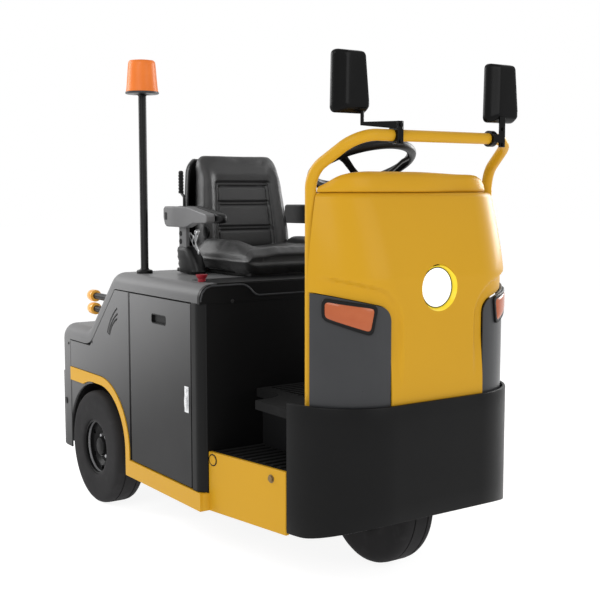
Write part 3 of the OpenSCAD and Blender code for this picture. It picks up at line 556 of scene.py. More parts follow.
cowl = {
    "foot": noseX - 0.013, "half": 0.395, "corner": 0.227, "rear": frontX + 0.140,
    "low": 0.550, "bend": 0.94, "top": 1.190, "lean": 0.072, "taper": 0.010, "topCorner": 0.195,
    "wall": 0.005, "stepDepth": 0.012, "stepReach": 0.040, "lip": 0.015,
    "cornerIn": 0.180, "cornerTop": 0.859, "cornerSlope": 0.24, "cornerRound": 0.048,
}
bumper = {
    "half": 0.408, "corner": 0.240, "rear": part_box("front_bumper")[0].x,
    "low": 0.177, "nose": 0.222, "sweep": 0.165, "top": 0.574,
}


def cowlRise(z):
    t = max(0.0, (z - cowl["bend"]) / (cowl["top"] - cowl["bend"]))
    return t ** 1.25


def planAt(front, half, r, rear, s):
    # s runs 0..1 from the right rear end round the nose to the left rear end
    side, arc = front - r - rear, r * quarterTurn
    run = min(s, 1 - s) * 2 * (side + arc + half - r)
    a = max(0.0, min(quarterTurn, (run - side) / r))
    out = Vector((math.sin(a), -math.cos(a), 0))
    spot = Vector((front - r, r - half, 0)) + out * r
    spot.x -= max(0.0, side - run)
    spot.y += max(0.0, run - side - arc)
    if s > 0.5:
        spot.y, out.y = -spot.y, -out.y
    return spot, out


def cowlAt(z, s, inset=0.0):
    k = cowlRise(z)
    r = cowl["corner"] + (cowl["topCorner"] - cowl["corner"]) * k - inset
    front, half = cowl["foot"] - cowl["lean"] * k - inset, cowl["half"] - cowl["taper"] * k - inset
    q, n = planAt(front, half, r, cowl["rear"], s)
    return Vector((q.x, q.y, z)), n


def bumperSection(s):
    q, n = planAt(noseX, bumper["half"], bumper["corner"], bumper["rear"], s)
    t = max(0.0, (q.x - noseX + bumper["sweep"]) / bumper["sweep"])
    low, top = bumper["low"] + (bumper["nose"] - bumper["low"]) * t ** 1.45, bumper["top"]
    steps = [(0.0035, low), (0.0012, low + 0.0010), (0.0, low + 0.0035)]
    steps += [(0.0, low + (top - low) * i / 6) for i in range(1, 6)]
    steps += [(0.0, top - 0.0045), (0.0013, top - 0.0013), (0.0045, top), (0.0085, top)]
    steps += [(0.0100, top - 0.0015), (0.0100, low + 0.0015), (0.0085, low)]
    return [(q.x - n.x * inset, q.y - n.y * inset, z) for inset, z in steps]


bumperPiece = ringed("frontBumper", [bumperSection(i / 110) for i in range(111)])
smooth(bumperPiece, 45)
finish(bumperPiece, bumperPlastic, stands=("front_bumper",))


def cornerGap(y, z, grow):
    # distance outside the dark corner's outline seen from the front, grown all round
    m = cowl["cornerSlope"]
    k = math.sqrt(1 + m * m)
    a = cowl["cornerIn"] - grow - abs(y)
    b = (z - (cowl["cornerTop"] + grow * k + m * (abs(y) - cowl["cornerIn"] + grow))) / k
    r = cowl["cornerRound"] + grow
    p, q = a + r, b + r
    return math.hypot(max(p, 0), max(q, 0)) + min(max(p, q), 0) - r


def cowlRows():
    rows = []
    top, lip = cowl["top"], cowl["lip"]
    z = cowl["low"]
    while z < top - lip - 0.004:
        rows.append((z, 0.0))
        z += 0.007
    for i in range(9):
        a = i / 8 * quarterTurn
        rows.append((top - lip + lip * math.sin(a), lip * (1 - math.cos(a))))
    return rows + [(top, lip + 0.012)]


def cowlGrid(count=190):
    rings = []
    for z, roundIn in cowlRows():
        ring = []
        for i in range(count + 1):
            p, n = cowlAt(z, i / count)
            gap = cornerGap(p.y, z, cowl["stepReach"])
            fade = ease(0.60, 0.78, z) * ease(frontX + 0.150, frontX + 0.205, p.x)
            sink = cowl["stepDepth"] * (1 - ease(-0.012, 0.003, gap)) * fade
            ring.append(p - n * (sink + roundIn))
        rings.append(ring)
    return rings


shell = ringed("noseCowl", cowlGrid(), closed=False, caps=False)
useMod(shell, "SOLIDIFY", thickness=cowl["wall"], offset=-1)
for side in (-1, 1):
    r, m = cowl["cornerRound"], cowl["cornerSlope"]
    mid = cowl["cornerTop"] + m * r - r * math.sqrt(1 + m * m)
    sweep = [i / 16 * math.atan(1 / m) for i in range(17)]
    edge = [(0, 0.4)] + [(r * math.cos(a) - r, mid + r * math.sin(a)) for a in sweep]
    edge += [(-0.5, cowl["cornerTop"] + 0.5 * m), (-0.5, 0.4)]
    rings = [[(x, side * (cowl["cornerIn"] - p), q) for p, q in edge] for x in (frontX, noseX + 0.2)]
    cutWith(shell, ringed("cornerCut", rings))

lamp = {
    "x": cowl["foot"], "z": 0.909, "r": 0.070, "steps": 64, "trimX": cowl["foot"] - 0.0012,
    "collar": [
        (0.074, -0.046), (0.074, 0.02), (0.0716, 0.02), (0.0705, 0.0),
        (0.0668, -0.0075), (0.0622, -0.0145), (0.0612, -0.0155), (0.0612, -0.046)],
    "lens": [
        (0.046, -0.061), (0.058, -0.031), (0.0592, -0.019), (0.0585, -0.0155), (0.054, -0.0125),
        (0.044, -0.0090), (0.030, -0.0068), (0.014, -0.0056), (0.003, -0.0053)],
    "gasket": [
        (0.0585, -0.025), (0.0585, -0.0145), (0.0594, -0.0130),
        (0.0605, -0.0138), (0.0611, -0.0165), (0.0611, -0.025)],
}


def lampPart(name, profile, x, filled):
    return turned(name, profile, lamp["steps"], (x, 0, lamp["z"]), towardFront, (filled, filled))


cutWith(shell, lampPart("lampCut", [(lamp["r"], 0), (lamp["r"], 0.4)], frontX, True))
smooth(shell, 32)
collar = lampPart("lampCollar", lamp["collar"], lamp["x"], False)
lean = math.atan2(cowl["lean"], cowl["top"] - cowl["bend"]) * 0.8
sliceOff(collar, (lamp["trimX"], 0, 0.9), (1, 0, 0))
sliceOff(collar, (lamp["trimX"], 0, cowl["bend"]), (math.cos(lean), 0, math.sin(lean)))
finish(collar, collarPaintedGlow)
finish(shell, yellowPaint, stands=("nose_cowl",))
lens = lampPart("headlight", lamp["lens"], lamp["x"], True)
finish(lens, clearLens, stands=("headlight",))
finish(lampPart("lampGasket", lamp["gasket"], lamp["x"], False), blackPlastic)

capShape = {
    "base": 1.1905, "front": 1.2545, "slope": 0.36, "back": frontX + 0.131, "dash": frontX + 0.112,
    "steps": (
        (0.009, 0.0), (0.005, 0.012), (0.002, 0.045), (0.0005, 0.10), (0.0, 0.18), (0.0, 0.34),
        (0.0015, 0.56), (0.005, 0.76), (0.011, 0.90), (0.020, 0.97), (0.032, 0.995), (0.050, 1.0)),
}


def capOutline(inset, count=120):
    out = []
    back, dash = capShape["back"], capShape["dash"]
    for s in [i / count for i in range(count + 1)]:
        q, n = cowlAt(cowl["top"], s, 0.004 + 0.016 * ease(0.45, 0.80, s) + inset)
        out.append((max(q.x, back), q.y))
    left, right = out[-1][1], out[0][1]
    out += [(back, left - 0.03), (back, left - 0.105), (dash, left - 0.125)]
    return out + [(dash, right + 0.125), (back, right + 0.105), (back, right + 0.03)]


capRings = []
topFront = cowlAt(cowl["top"], 0.5)[0].x - 0.022
for inset, share in capShape["steps"]:
    ring = []
    for x, y in capOutline(inset):
        high = capShape["front"] - capShape["slope"] * max(0.0, topFront - x) - capShape["base"]
        high *= 0.45 + 0.55 * ease(capShape["back"] - 0.012, capShape["back"] + 0.045, x)
        if x < capShape["back"] - 0.001:
            high = 0.012
        ring.append((x, y, capShape["base"] + share * high))
    capRings.append(ring)
finish(ringed("cowlCap", capRings), yellowPaint, stands=("cowl_cap",))

# indicators: domed amber lens in a dark bezel, laid round the front corners
indicator = {
    "area": [(0.2197, 0.883), (0.2197, 0.833), (0.0817, 0.789), (0.0680, 0.862)],
    "bezel": (
        (0.0070, 0.019, -0.008), (0.0070, 0.019, 0.0015), (0.0055, 0.018, 0.0034), (0.0010, 0.016, 0.0038),
        (-0.0025, 0.014, 0.0028), (-0.0036, 0.014, 0.0008), (-0.0036, 0.014, -0.004)),
    "sink": 0.001, "dome": 0.0048, "thick": 0.003,
}


def roundedArea(grow, bend, steps=7, between=12):
    pts = [Vector(p) for p in indicator["area"]]
    count = len(pts)
    sides = []
    for i, a in enumerate(pts):
        along = (pts[(i + 1) % count] - a).normalized()
        sides.append((a + Vector((-along.y, along.x)) * grow, along))
    moved = []
    for i in range(count):
        (a, u), (b, w) = sides[i - 1], sides[i]
        moved.append(a + u * ((b - a).cross(w) / u.cross(w)))
    out = []
    for i, b in enumerate(moved):
        c = moved[(i + 1) % count]
        start, end = b + (moved[i - 1] - b).normalized() * bend, b + (c - b).normalized() * bend
        for t in [j / steps for j in range(steps + 1)]:
            out.append(start * (1 - t) ** 2 + b * 2 * t * (1 - t) + end * t ** 2)
        nextStart = c + (b - c).normalized() * bend
        out += [end.lerp(nextStart, j / between) for j in range(1, between)]
    return out


def onCorner(q, lift, side):
    r = cowl["corner"]
    a = q.x / r
    x, y = cowl["foot"] - r + (r + lift) * math.cos(a), cowl["half"] - r + (r + lift) * math.sin(a)
    return (x, side * y, q.y)


def bezelRing(side):
    return ringed("indicatorBezel", [
        [onCorner(q, lift, side) for q in roundedArea(grow, bend)] for grow, bend, lift in indicator["bezel"]])


def lensPatch(side):
    a, b, c, d = [Vector(q) for q in indicator["area"]]
    rows = []
    for t in [j / 12 for j in range(13)]:
        row = []
        for u in [i / 32 for i in range(33)]:
            dome = (1 - (2 * u - 1) ** 8) * (1 - (2 * t - 1) ** 6)
            q = d.lerp(a, u).lerp(c.lerp(b, u), t)
            row.append(onCorner(q, indicator["dome"] * dome - indicator["sink"], side))
        rows.append(row)
    patch = ringed("indicatorLens", rows, closed=False, caps=False)
    useMod(patch, "SOLIDIFY", thickness=indicator["thick"], offset=0)
    smooth(patch, 60)
    return patch


bezel = joinAll("indicatorBezels", [bezelRing(side) for side in (-1, 1)])
finish(bezel, blackPlastic)
amber = joinAll("indicatorLenses", [lensPatch(side) for side in (-1, 1)])
finish(amber, amberLens, stands=("indicators",))
print("cowl done")


# hoop rail, mirrors and steering wheel

rail = {
    "d": 0.034, "footX": frontX + 0.112, "footY": 0.350, "footZ": 0.550, "kneeZ": 1.250,
    "barX": noseX - 0.031, "barY": 0.295, "barZ": 1.353, "bend": 0.090,
}
railLeft = [
    (rail["footX"], rail["footY"], rail["footZ"]), (rail["footX"], rail["footY"], rail["kneeZ"]),
    (rail["barX"], rail["barY"], rail["barZ"]),
]
corners = [(x, -y, z) for x, y, z in railLeft] + railLeft[::-1]
hoop = piped("hoopRail", bentLine(corners, rail["bend"], 18), rail["d"] / 2, 8)
finish(hoop, yellowPaint, stands=("handrail",))

mirrors = {
    "w": 0.122, "h": 0.177, "z": 1.504, "round": 0.016, "rightY": -0.165, "leftY": 0.212, "step": 0.026,
    "armZ": rail["barZ"] + 0.040, "stalkZ": rail["barZ"] + 0.029, "reach": Vector((-0.064, -0.068)),
    "strapX": rail["d"] / 2 + 0.006,
    # depth, then how far the outline draws in at the left, right, top and bottom
    "rings": (
        (0.0055, 0.0065, 0.0065, 0.0065, 0.0065), (0.001, 0.0055, 0.0055, 0.0055, 0.0055),
        (-0.0005, 0.003, 0.003, 0.003, 0.003), (0.001, 0.0005, 0.0005, 0.0005, 0.0005),
        (0.004, 0.0, 0.0, 0.0, 0.0), (0.011, 0.0, 0.0, 0.0, 0.0), (0.0155, 0.001, 0.0002, 0.0003, 0.001),
        (0.019, 0.005, 0.0005, 0.001, 0.003), (0.0245, 0.016, 0.001, 0.002, 0.007),
        (0.0300, 0.028, 0.002, 0.004, 0.012), (0.0325, 0.033, 0.004, 0.006, 0.0145),
        (0.0338, 0.037, 0.008, 0.010, 0.018), (0.0342, 0.044, 0.016, 0.018, 0.026)),
    "clamp": [
        (0.0172, -0.010), (0.0235, -0.010), (0.0245, -0.009), (0.0245, 0.009), (0.0235, 0.010), (0.0172, 0.010)],
    "bolt": [(0.0055, 0), (0.0055, 0.004), (0.0045, 0.005), (0.001, 0.005)],
}


def headOutline():
    r = mirrors["round"]
    y, z = mirrors["w"] / 2 - r, mirrors["h"] / 2 - r
    pts = []
    for (cy, cz), start in (((y, -z), -90), ((y - 0.018, z), 0), ((0.003 - y, z), 90), ((-y, -z), 180)):
        for i in range(9):
            a = math.radians(start + i * 90 / 8)
            pts.append(Vector((cy + r * math.cos(a), cz + r * math.sin(a))))
    full = []
    for i, q in enumerate(pts):
        b = pts[(i + 1) % len(pts)]
        n = max(1, int((b - q).length / 0.008))
        full += [q.lerp(b, k / n) for k in range(n)]
    return full


def mirrorHead(name, centre):
    w, h = mirrors["w"], mirrors["h"]
    rings = []
    for x, left, right, top, low in mirrors["rings"]:
        ring = []
        for q in headOutline():
            p = -w / 2 + left + (q.x + w / 2) * (w - left - right) / w
            r = -h / 2 + low + (q.y + h / 2) * (h - low - top) / h
            ring.append((centre[0] + x, centre[1] + p, centre[2] + r))
        rings.append(ring)
    head = ringed(name, rings)
    smooth(head, 50)
    return head


def clampParts(y, high, step=0.0):
    barX, barZ, strapX = rail["barX"], rail["barZ"], mirrors["strapX"] + rail["barX"]
    low = barZ - 0.026
    parts = [
        turned("clampRing", mirrors["clamp"], 40, (barX, y, barZ), towardRight, (False, False)),
        block("clampStrap", (strapX, y + step, (low + high) / 2), (0.008, 0.022, high - low), 0.002)]
    if step:
        parts.append(block("clampLug", (strapX, y + step / 2 - 0.009, barZ), (0.008, step + 0.004, 0.024), 0.002))
    for z in (barZ - 0.018, barZ + 0.0285):
        parts.append(turned("clampBolt", mirrors["bolt"], 6, (strapX + 0.004, y + step, z), towardFront))
    return parts


reach, strapX, armZ = mirrors["reach"], mirrors["strapX"], mirrors["armZ"]
armLength = math.hypot(reach.x - strapX, reach.y)
armTurn = Matrix.Rotation(math.atan2(reach.y, reach.x - strapX), 3, "Z")
armFoot = Vector((rail["barX"] + strapX, mirrors["rightY"], armZ))
armOutline = ((-0.008, -0.024), (-0.008, 0.0), (armLength + 0.005, -0.001), (armLength + 0.005, -0.011))
arm = ringed("mirrorArm", [
    [armTurn @ Vector((a, t, b)) + armFoot for a, b in armOutline] for t in (-0.0035, 0.0035)])
soften(arm, 0.0015)
stalkX, stalkY, stalkZ = rail["barX"] + reach.x, mirrors["rightY"] + reach.y, mirrors["stalkZ"]
headLow = mirrors["z"] - mirrors["h"] / 2
stalk = turned("mirrorStalk", [(0.0055, 0), (0.0055, headLow + 0.010 - stalkZ)], 24, (stalkX, stalkY, stalkZ))
head = mirrorHead("mirrorHeadRight", (stalkX - 0.020, stalkY - mirrors["w"] / 2 + 0.020, mirrors["z"]))
rightMirror = joinAll("mirrorRight", [head, arm, stalk] + clampParts(mirrors["rightY"], armZ))
finish(rightMirror, glossBlack, stands=("mirror_right",))
leftY, leftStep = mirrors["leftY"], mirrors["step"]
head = mirrorHead("mirrorHeadLeft", (rail["barX"] - 0.012, leftY + leftStep + 0.012, mirrors["z"] - 0.014))
leftMirror = joinAll("mirrorLeft", [head] + clampParts(leftY, headLow + 0.004, leftStep))
finish(leftMirror, glossBlack, stands=("mirror_left",))
glasses = copyNode("mirror_glasses", "mirrorGlasses")
soften(glasses, 0.001)
finish(glasses, mirrorGlass, stands=("mirror_glasses",))

wheel = {
    "x": frontX - 0.100, "z": 1.276, "tilt": 22.6, "r": 0.165, "rim": 0.015, "drop": 0.055, "hubR": 0.030,
    "hub": [
        (0.0125, -0.074), (0.036, -0.074), (0.0385, -0.070), (0.0385, -0.046),
        (0.036, -0.038), (0.028, -0.032), (0.014, -0.029), (0.002, -0.0285)],
}
clearPick()
bpy.ops.mesh.primitive_torus_add(
    major_radius=wheel["r"], minor_radius=wheel["rim"], major_segments=96, minor_segments=20)
wheelParts = [bpy.context.object, turned("wheelHub", wheel["hub"], 48, caps=(False, True))]
smooth(wheelParts[0], 60)
for a in (60, 180, 300):
    spokeRings = []
    for t in (0.0, 0.25, 0.5, 0.75, 1.0):
        r = wheel["hubR"] + t * (wheel["r"] - wheel["hubR"])
        z = -wheel["drop"] + 0.052 * ease(0.1, 1.0, t)
        w, h = 0.017 - 0.006 * math.sin(t * math.pi), 0.0065
        spokeRings.append([(r, w * math.cos(b), z + h * math.sin(b)) for b in roundTurn(16)])
    spoke = ringed("wheelSpoke", spokeRings)
    spoke.rotation_euler = (0, 0, math.radians(a))
    settle(spoke)
    wheelParts.append(spoke)
steering = joinAll("steeringWheel", wheelParts)
steering.rotation_euler = (0, -math.radians(wheel["tilt"]), 0)
steering.location = (wheel["x"], 0, wheel["z"])
settle(steering)
finish(steering, blackPlastic, "steering_wheel", ("steering_wheel",))
print("rail, mirrors and steering wheel done")


# wheels

wheelFit = {
    "trackHalf": 0.442, "steps": 102, "lipSteps": 96, "nutRing": 0.040, "nutBack": 0.012,
    "tyre": [
        (0.1032, 0.030), (0.1036, 0.0480), (0.1050, 0.0535), (0.1080, 0.0565), (0.1130, 0.0578), (0.1280, 0.0586),
        (0.155, 0.0590), (0.172, 0.0592), (0.186, 0.0590), (0.196, 0.0575), (0.205, 0.0540), (0.2110, 0.0480),
        (0.2145, 0.0400), (0.2158, 0.0300), (0.2160, 0.0280), (0.2125, 0.0272), (0.2125, 0.0232),
        (0.2160, 0.0224), (0.2160, 0.0)],
    "lip": [
        (0.0962, 0.0330), (0.0970, 0.0405), (0.0982, 0.0434), (0.0998, 0.0448),
        (0.1014, 0.0450), (0.1027, 0.0440), (0.1032, 0.0420)],
    "nut": [(0.0105, 0), (0.0105, 0.007), (0.009, 0.011), (0.006, 0.012), (0.001, 0.012)],
    "hub": [(0.036, 0.020), (0.036, 0.030), (0.033, 0.036), (0.024, 0.040), (0.010, 0.042), (0.001, 0.042)],
}
tyreProfile = wheelFit["tyre"] + [(r, -h) for r, h in reversed(wheelFit["tyre"][:-1])]


def placeWheel(obj, centre, outward=-1):
    obj.rotation_euler = (-outward * quarterTurn, 0, 0)
    obj.location = centre
    settle(obj)
    return obj


def wheelNuts():
    r, back = wheelFit["nutRing"], wheelFit["nutBack"]
    return [turned("wheelNut", wheelFit["nut"], 6, (r * math.cos(a), r * math.sin(a), back)) for a in roundTurn(6)]


wheelSpots = {
    "front": ("front_tyre", "front_rim", "front_wheel", (frontX, 0, wheelR), -1),
    "rearRight": (
        "rear_tyre_right", "rear_rim_right", "rear_wheel_right", (rearX, -wheelFit["trackHalf"], wheelR), -1),
    "rearLeft": (
        "rear_tyre_left", "rear_rim_left", "rear_wheel_left", (rearX, wheelFit["trackHalf"], wheelR), 1),
}
for label, (tyreNode, rimNode, body, centre, outward) in wheelSpots.items():
    tyre = turned(label + "Tyre", tyreProfile, wheelFit["steps"], caps=(False, False))
    finish(placeWheel(tyre, centre), tyreRubber, body, (tyreNode,))
    disc = copyNode(rimNode, label + "Rim")
    soften(disc, 0.0015, 2, 35)
    finish(disc, rimPaint, body, (rimNode,))
    lip = turned(label + "Lip", wheelFit["lip"], wheelFit["lipSteps"], caps=(False, False))
    bright = joinAll(label + "Bright", [lip] + wheelNuts())
    finish(placeWheel(bright, centre, outward), lipMetal, body)
    hub = turned(label + "Hub", wheelFit["hub"], 40, caps=(False, True))
    finish(placeWheel(hub, centre, outward), rimPaint, body)
print("wheels done")


# seat

seatX = frontX - 0.290 - 0.130
seatVoxel = 0.0065


def puffUp(obj, pressure, limit):
    useMod(obj, "REMESH", mode="VOXEL", voxel_size=seatVoxel)
    start = [v.co.copy() for v in obj.data.vertices]
    mod = obj.modifiers.new("cloth", "CLOTH")
    mod.settings.use_pressure = True
    mod.settings.uniform_pressure_force = pressure
    mod.settings.effector_weights.gravity = 0
    mod.settings.quality = 4
    mod.settings.tension_stiffness = 22
    mod.settings.compression_stiffness = 22
    mod.collision_settings.use_collision = False
    for f in range(1, 21):
        bpy.context.scene.frame_set(f)
    pick(obj)
    bpy.ops.object.modifier_apply(modifier=mod.name)
    bpy.context.scene.frame_set(1)
    for v, p in zip(obj.data.vertices, start):
        move = v.co - p
        if move.length > limit:
            v.co = p + move.normalized() * limit


def relax(obj, count):
    useMod(obj, "SMOOTH", factor=0.5, iterations=count)


def channel(distance, width, depth):
    return -depth * math.exp(-((distance / width) ** 2))


cushionFit = {
    "narrow": 0.985, "foot": 0.920, "welt": 0.952, "sideSeam": 0.150, "frontSeam": -0.076,
    "crossSeams": (-0.160, -0.245, -0.325), "seam": 0.008, "bolsterY": 0.190, "bolsterH": 0.022,
}
cushion = copyNode("seat_cushion", "seatCushion")
for v in cushion.data.vertices:
    v.co.y *= cushionFit["narrow"]
puffUp(cushion, 3.0, 0.010)
relax(cushion, 4)
useMod(cushion, "SUBSURF", levels=1, render_levels=1)
for v in cushion.data.vertices:
    x, y, z = v.co.x - seatX, v.co.y, v.co.z
    side, foot, welt = abs(y), cushionFit["foot"], z - cushionFit["welt"]
    if z > foot + 0.035:
        roll = math.exp(-((side - cushionFit["bolsterY"]) / 0.030) ** 2)
        lift = cushionFit["bolsterH"] * roll * ease(-0.42, -0.34, x) * (1 - 0.7 * ease(-0.16, -0.03, x))
        lift -= 0.010 * ease(0.205, 0.240, side)
        lift += 0.014 * ease(-0.075, -0.030, x) * (1 - ease(0.10, 0.20, side))
        lift -= 0.008 * (1 - ease(0.0, 0.15, side)) * (1 - ease(-0.10, -0.05, x))
        seam = channel(side - cushionFit["sideSeam"], 0.009, 0.015) if x < -0.070 else 0.0
        if side < cushionFit["sideSeam"]:
            seam += channel(x - cushionFit["frontSeam"], cushionFit["seam"], 0.012)
        if side < 0.146:
            seam += sum(channel(x - line, cushionFit["seam"], 0.007) for line in cushionFit["crossSeams"])
        v.co.z += lift + max(seam, -0.016)
    elif z < foot + 0.030:
        v.co.z -= 0.014 * (1 - ease(foot, foot + 0.030, z))
    if side > cushionFit["sideSeam"]:
        v.co.y += math.copysign(channel(welt, 0.007, 0.007), y)
    if x > -0.040:
        v.co.x += channel(welt, 0.007, 0.006) + 0.010 * max(0.0, 1 - ((z - 0.955) / 0.060) ** 2)
smooth(cushion, 70)
finish(cushion, seatLeather, stands=("seat_cushion",))

backFit = {
    "top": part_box("seat_back")[1].z, "narrow": 0.955, "forward": 0.032, "bolster": 0.026,
    "panel": 0.116, "panelTaper": 0.06, "panelFoot": 1.02, "seam": 0.0042, "seamDepth": 0.0075,
    "ribs": (1.048, 1.059, 1.141, 1.152), "headSeams": ((1.212, 0.0), (1.226, 0.012)),
}


def panelHalf(z):
    return backFit["panel"] - backFit["panelTaper"] * max(0.0, z - backFit["panelFoot"])


def backSeam(distance):
    return channel(distance, backFit["seam"], backFit["seamDepth"])


def withNormals(obj):
    # the normals are read first, since reading one after a move works all of them out again
    return list(zip(obj.data.vertices, [v.normal.copy() for v in obj.data.vertices]))


backrest = copyNode("seat_back", "seatBack")
puffUp(backrest, 2.2, 0.004)
for v, n in withNormals(backrest):
    z, side, top = v.co.z, abs(v.co.y), backFit["top"]
    shoulder = ease(1.24, 1.300, z) * (1 - ease(top - 0.016, top + 0.004, z))
    v.co.y *= backFit["narrow"] + 0.02 * ease(1.15, 1.26, z) + 0.06 * shoulder
    bolster = ease(panelHalf(z) + 0.010, panelHalf(z) + 0.055, side)
    bolster *= (1 - ease(1.22, 1.32, z)) * ease(0.02, 0.35, n.x)
    v.co.x += backFit["forward"] + backFit["bolster"] * bolster
relax(backrest, 9)
useMod(backrest, "SUBSURF", levels=1, render_levels=1)
for v, n in withNormals(backrest):
    z, side = v.co.z, abs(v.co.y)
    if n.x > 0.05:
        half, push = panelHalf(z), 0.0
        if side < half + 0.004:
            push += sum(backSeam(z - line) for line in backFit["ribs"])
        push += sum(backSeam(z - line) for line, extra in backFit["headSeams"] if side < half + extra)
        push += backSeam(side - half) if 0.99 < z < 1.214 else 0.0
        push += channel(side - half - 0.013, backFit["seam"], 0.006) if 0.99 < z < 1.228 else 0.0
        push = max(push, -0.010) + 0.006 * ease(1.228, 1.262, z) * (1 - ease(0.10, 0.16, side))
        v.co.x += push * ease(0.05, 0.45, n.x)
smooth(backrest, 70)
finish(backrest, seatLeather, stands=("seat_back",))

# backrest shell with its rolled edge
shellFit = {
    "low": 0.985, "h": 0.330, "half": 0.220, "back": seatX - 0.488, "lean": 0.052, "taper": 0.17, "wall": 0.005,
    "edge": [(0.012, 0), (0.010, 0.5), (0.004, 0.85), (-0.008, 0.97), (-0.030, 1.015), (-0.052, 1.0)],
}
shellRings = []
shellEdge = [(-y, x) for x, y in reversed(shellFit["edge"])] + [(y, x) for x, y in shellFit["edge"][1:]]
for t in [i / 24 for i in range(25)]:
    half = shellFit["half"] * (1 - shellFit["taper"] * t ** 1.4)
    if t > 0.82:
        half *= 1 - 0.16 * ((t - 0.82) / 0.18) ** 2.6
    back, z = shellFit["back"] - shellFit["lean"] * t, shellFit["low"] + shellFit["h"] * t
    shellRings.append([(back - x, half * y, z) for y, x in shellEdge])
backShell = ringed("seatShell", shellRings, closed=False, caps=False)
useMod(backShell, "SOLIDIFY", thickness=shellFit["wall"], offset=0)
useMod(backShell, "SUBSURF", levels=1, render_levels=1)
smooth(backShell, 60)
finish(backShell, glossBlack)

skirtFit = {
    "x": seatX - 0.235, "a": 0.205, "b": 0.222, "power": 0.35,
    "steps": (
        (0.9012, 0.004), (0.9035, 0.0), (0.908, 0.001), (0.911, 0.006),
        (0.915, 0.001), (0.919, 0.003), (0.922, 0.012)),
}
skirt = ringed("seatSkirt", [
    squareRing(skirtFit["x"], 0, z, skirtFit["a"] - inset, skirtFit["b"] - inset, skirtFit["power"], 48)
    for z, inset in skirtFit["steps"]])
finish(skirt, floorRubber)

# right armrest: grey outer cover, black pad inside it, post, boot and belt bracket
armFit = {
    "y": -0.301, "z": 1.139, "split": -0.302, "padY": -0.283, "bootX": seatX - 0.307, "leftLonger": 0.025,
    "pad": (
        (-0.400, -0.024, 0.006, 0.010), (-0.396, -0.024, 0.015, 0.020), (-0.380, -0.024, 0.0185, 0.025),
        (-0.240, -0.024, 0.019, 0.026), (-0.150, -0.034, 0.019, 0.022), (-0.100, -0.038, 0.0185, 0.018),
        (-0.082, -0.039, 0.016, 0.015), (-0.074, -0.039, 0.009, 0.008), (-0.072, -0.039, 0.002, 0.002)),
    "boot": (
        (0.904, 0.034, 0.070, 0.026), (0.912, 0.034, 0.074, 0.030), (0.922, 0.032, 0.068, 0.029),
        (0.934, 0.028, 0.070, 0.031), (0.946, 0.024, 0.063, 0.029), (0.958, 0.018, 0.064, 0.031),
        (0.970, 0.012, 0.056, 0.029), (0.982, 0.006, 0.054, 0.029), (0.992, 0.000, 0.046, 0.026),
        (0.998, -0.002, 0.036, 0.020)),
    "hinge": [(0.002, 0), (0.019, 0.0), (0.021, 0.002), (0.021, 0.010), (0.014, 0.012), (0.002, 0.012)],
    "hole": [(0.0095, 0.0), (0.0095, 0.0018), (0.0075, 0.0022), (0.0060, 0.0004), (0.001, 0.0004)],
}
cover = copyNode("armrest_right", "armrestRight")
sliceOff(cover, (0, armFit["split"], 0), (0, 1, 0), True)
soften(cover, 0.007, 3, 30)
finish(cover, armPlastic, stands=("armrest_right",))


def padRing(x, mid, halfW, halfH):
    turns = [squared(t, 0.6) for t in roundTurn(32)]
    return [(seatX + x, armFit["padY"] + halfW * c, armFit["z"] + mid + halfH * s) for c, s in turns]


pad = ringed("armPad", [padRing(*step) for step in armFit["pad"]])
boot = ringed("armBoot", [
    squareRing(armFit["bootX"] + dx, armFit["y"] + 0.004, z, a, b, 0.7, 32) for z, dx, a, b in armFit["boot"]])
bootTwin = mirrored(boot, "armBootLeft")
hinge = turned("armHinge", armFit["hinge"], 36, (seatX - 0.245, -0.250, 1.048), towardRight)
blackBits = joinAll("armBlackParts", [pad, boot, bootTwin, hinge])
finish(blackBits, blackPlastic)

post = block("armPost", (seatX - 0.305, armFit["y"] - 0.014, 1.030), (0.052, 0.007, 0.085), 0.0025)
finish(post, armPlastic)
holes = [
    turned("postHole", armFit["hole"], 28, (seatX - 0.318, armFit["y"] - 0.0172, z), towardRight)
    for z in (1.043, 1.015)]
slot = block("armSlot", (seatX - 0.392, armFit["y"] - 0.0368, 1.104), (0.018, 0.002, 0.027), 0.0009)
finish(joinAll("armMarks", holes + [slot]), boxPaint)

armLeft = copyNode("armrest_left", "armrestLeft")
for v in armLeft.data.vertices:
    if v.co.x < seatX - 0.45:
        v.co.x -= armFit["leftLonger"]
soften(armLeft, 0.010, 4, 30)
finish(armLeft, blackPlastic, stands=("armrest_left",))

leverPath = bentLine([
    (seatX - 0.350, -0.285, 1.139), (seatX - 0.350, -0.285, 1.173),
    (seatX - 0.412, -0.261, 1.183), (seatX - 0.418, -0.261, 1.200)], 0.010, 8)
rod = piped("leverRod", leverPath, 0.0055, 5)
ribs = [(0.004, 0.0), (0.009, 0.001)]
for z in [0.004 + i * 0.0115 for i in range(6)]:
    ribs += [(0.0098, z), (0.0098, z + 0.006), (0.0082, z + 0.0075), (0.0082, z + 0.010)]
ribs += [(0.0095, 0.074), (0.0085, 0.080), (0.005, 0.083), (0.001, 0.0835)]
grip = turned("leverGrip", ribs, 28, (seatX - 0.418, -0.261, 1.184))
lever = joinAll("seatLever", [rod, grip])
finish(lever, blackPlastic, stands=("seat_lever",))
print("seat done")


# beacon, rear lamps and pedals

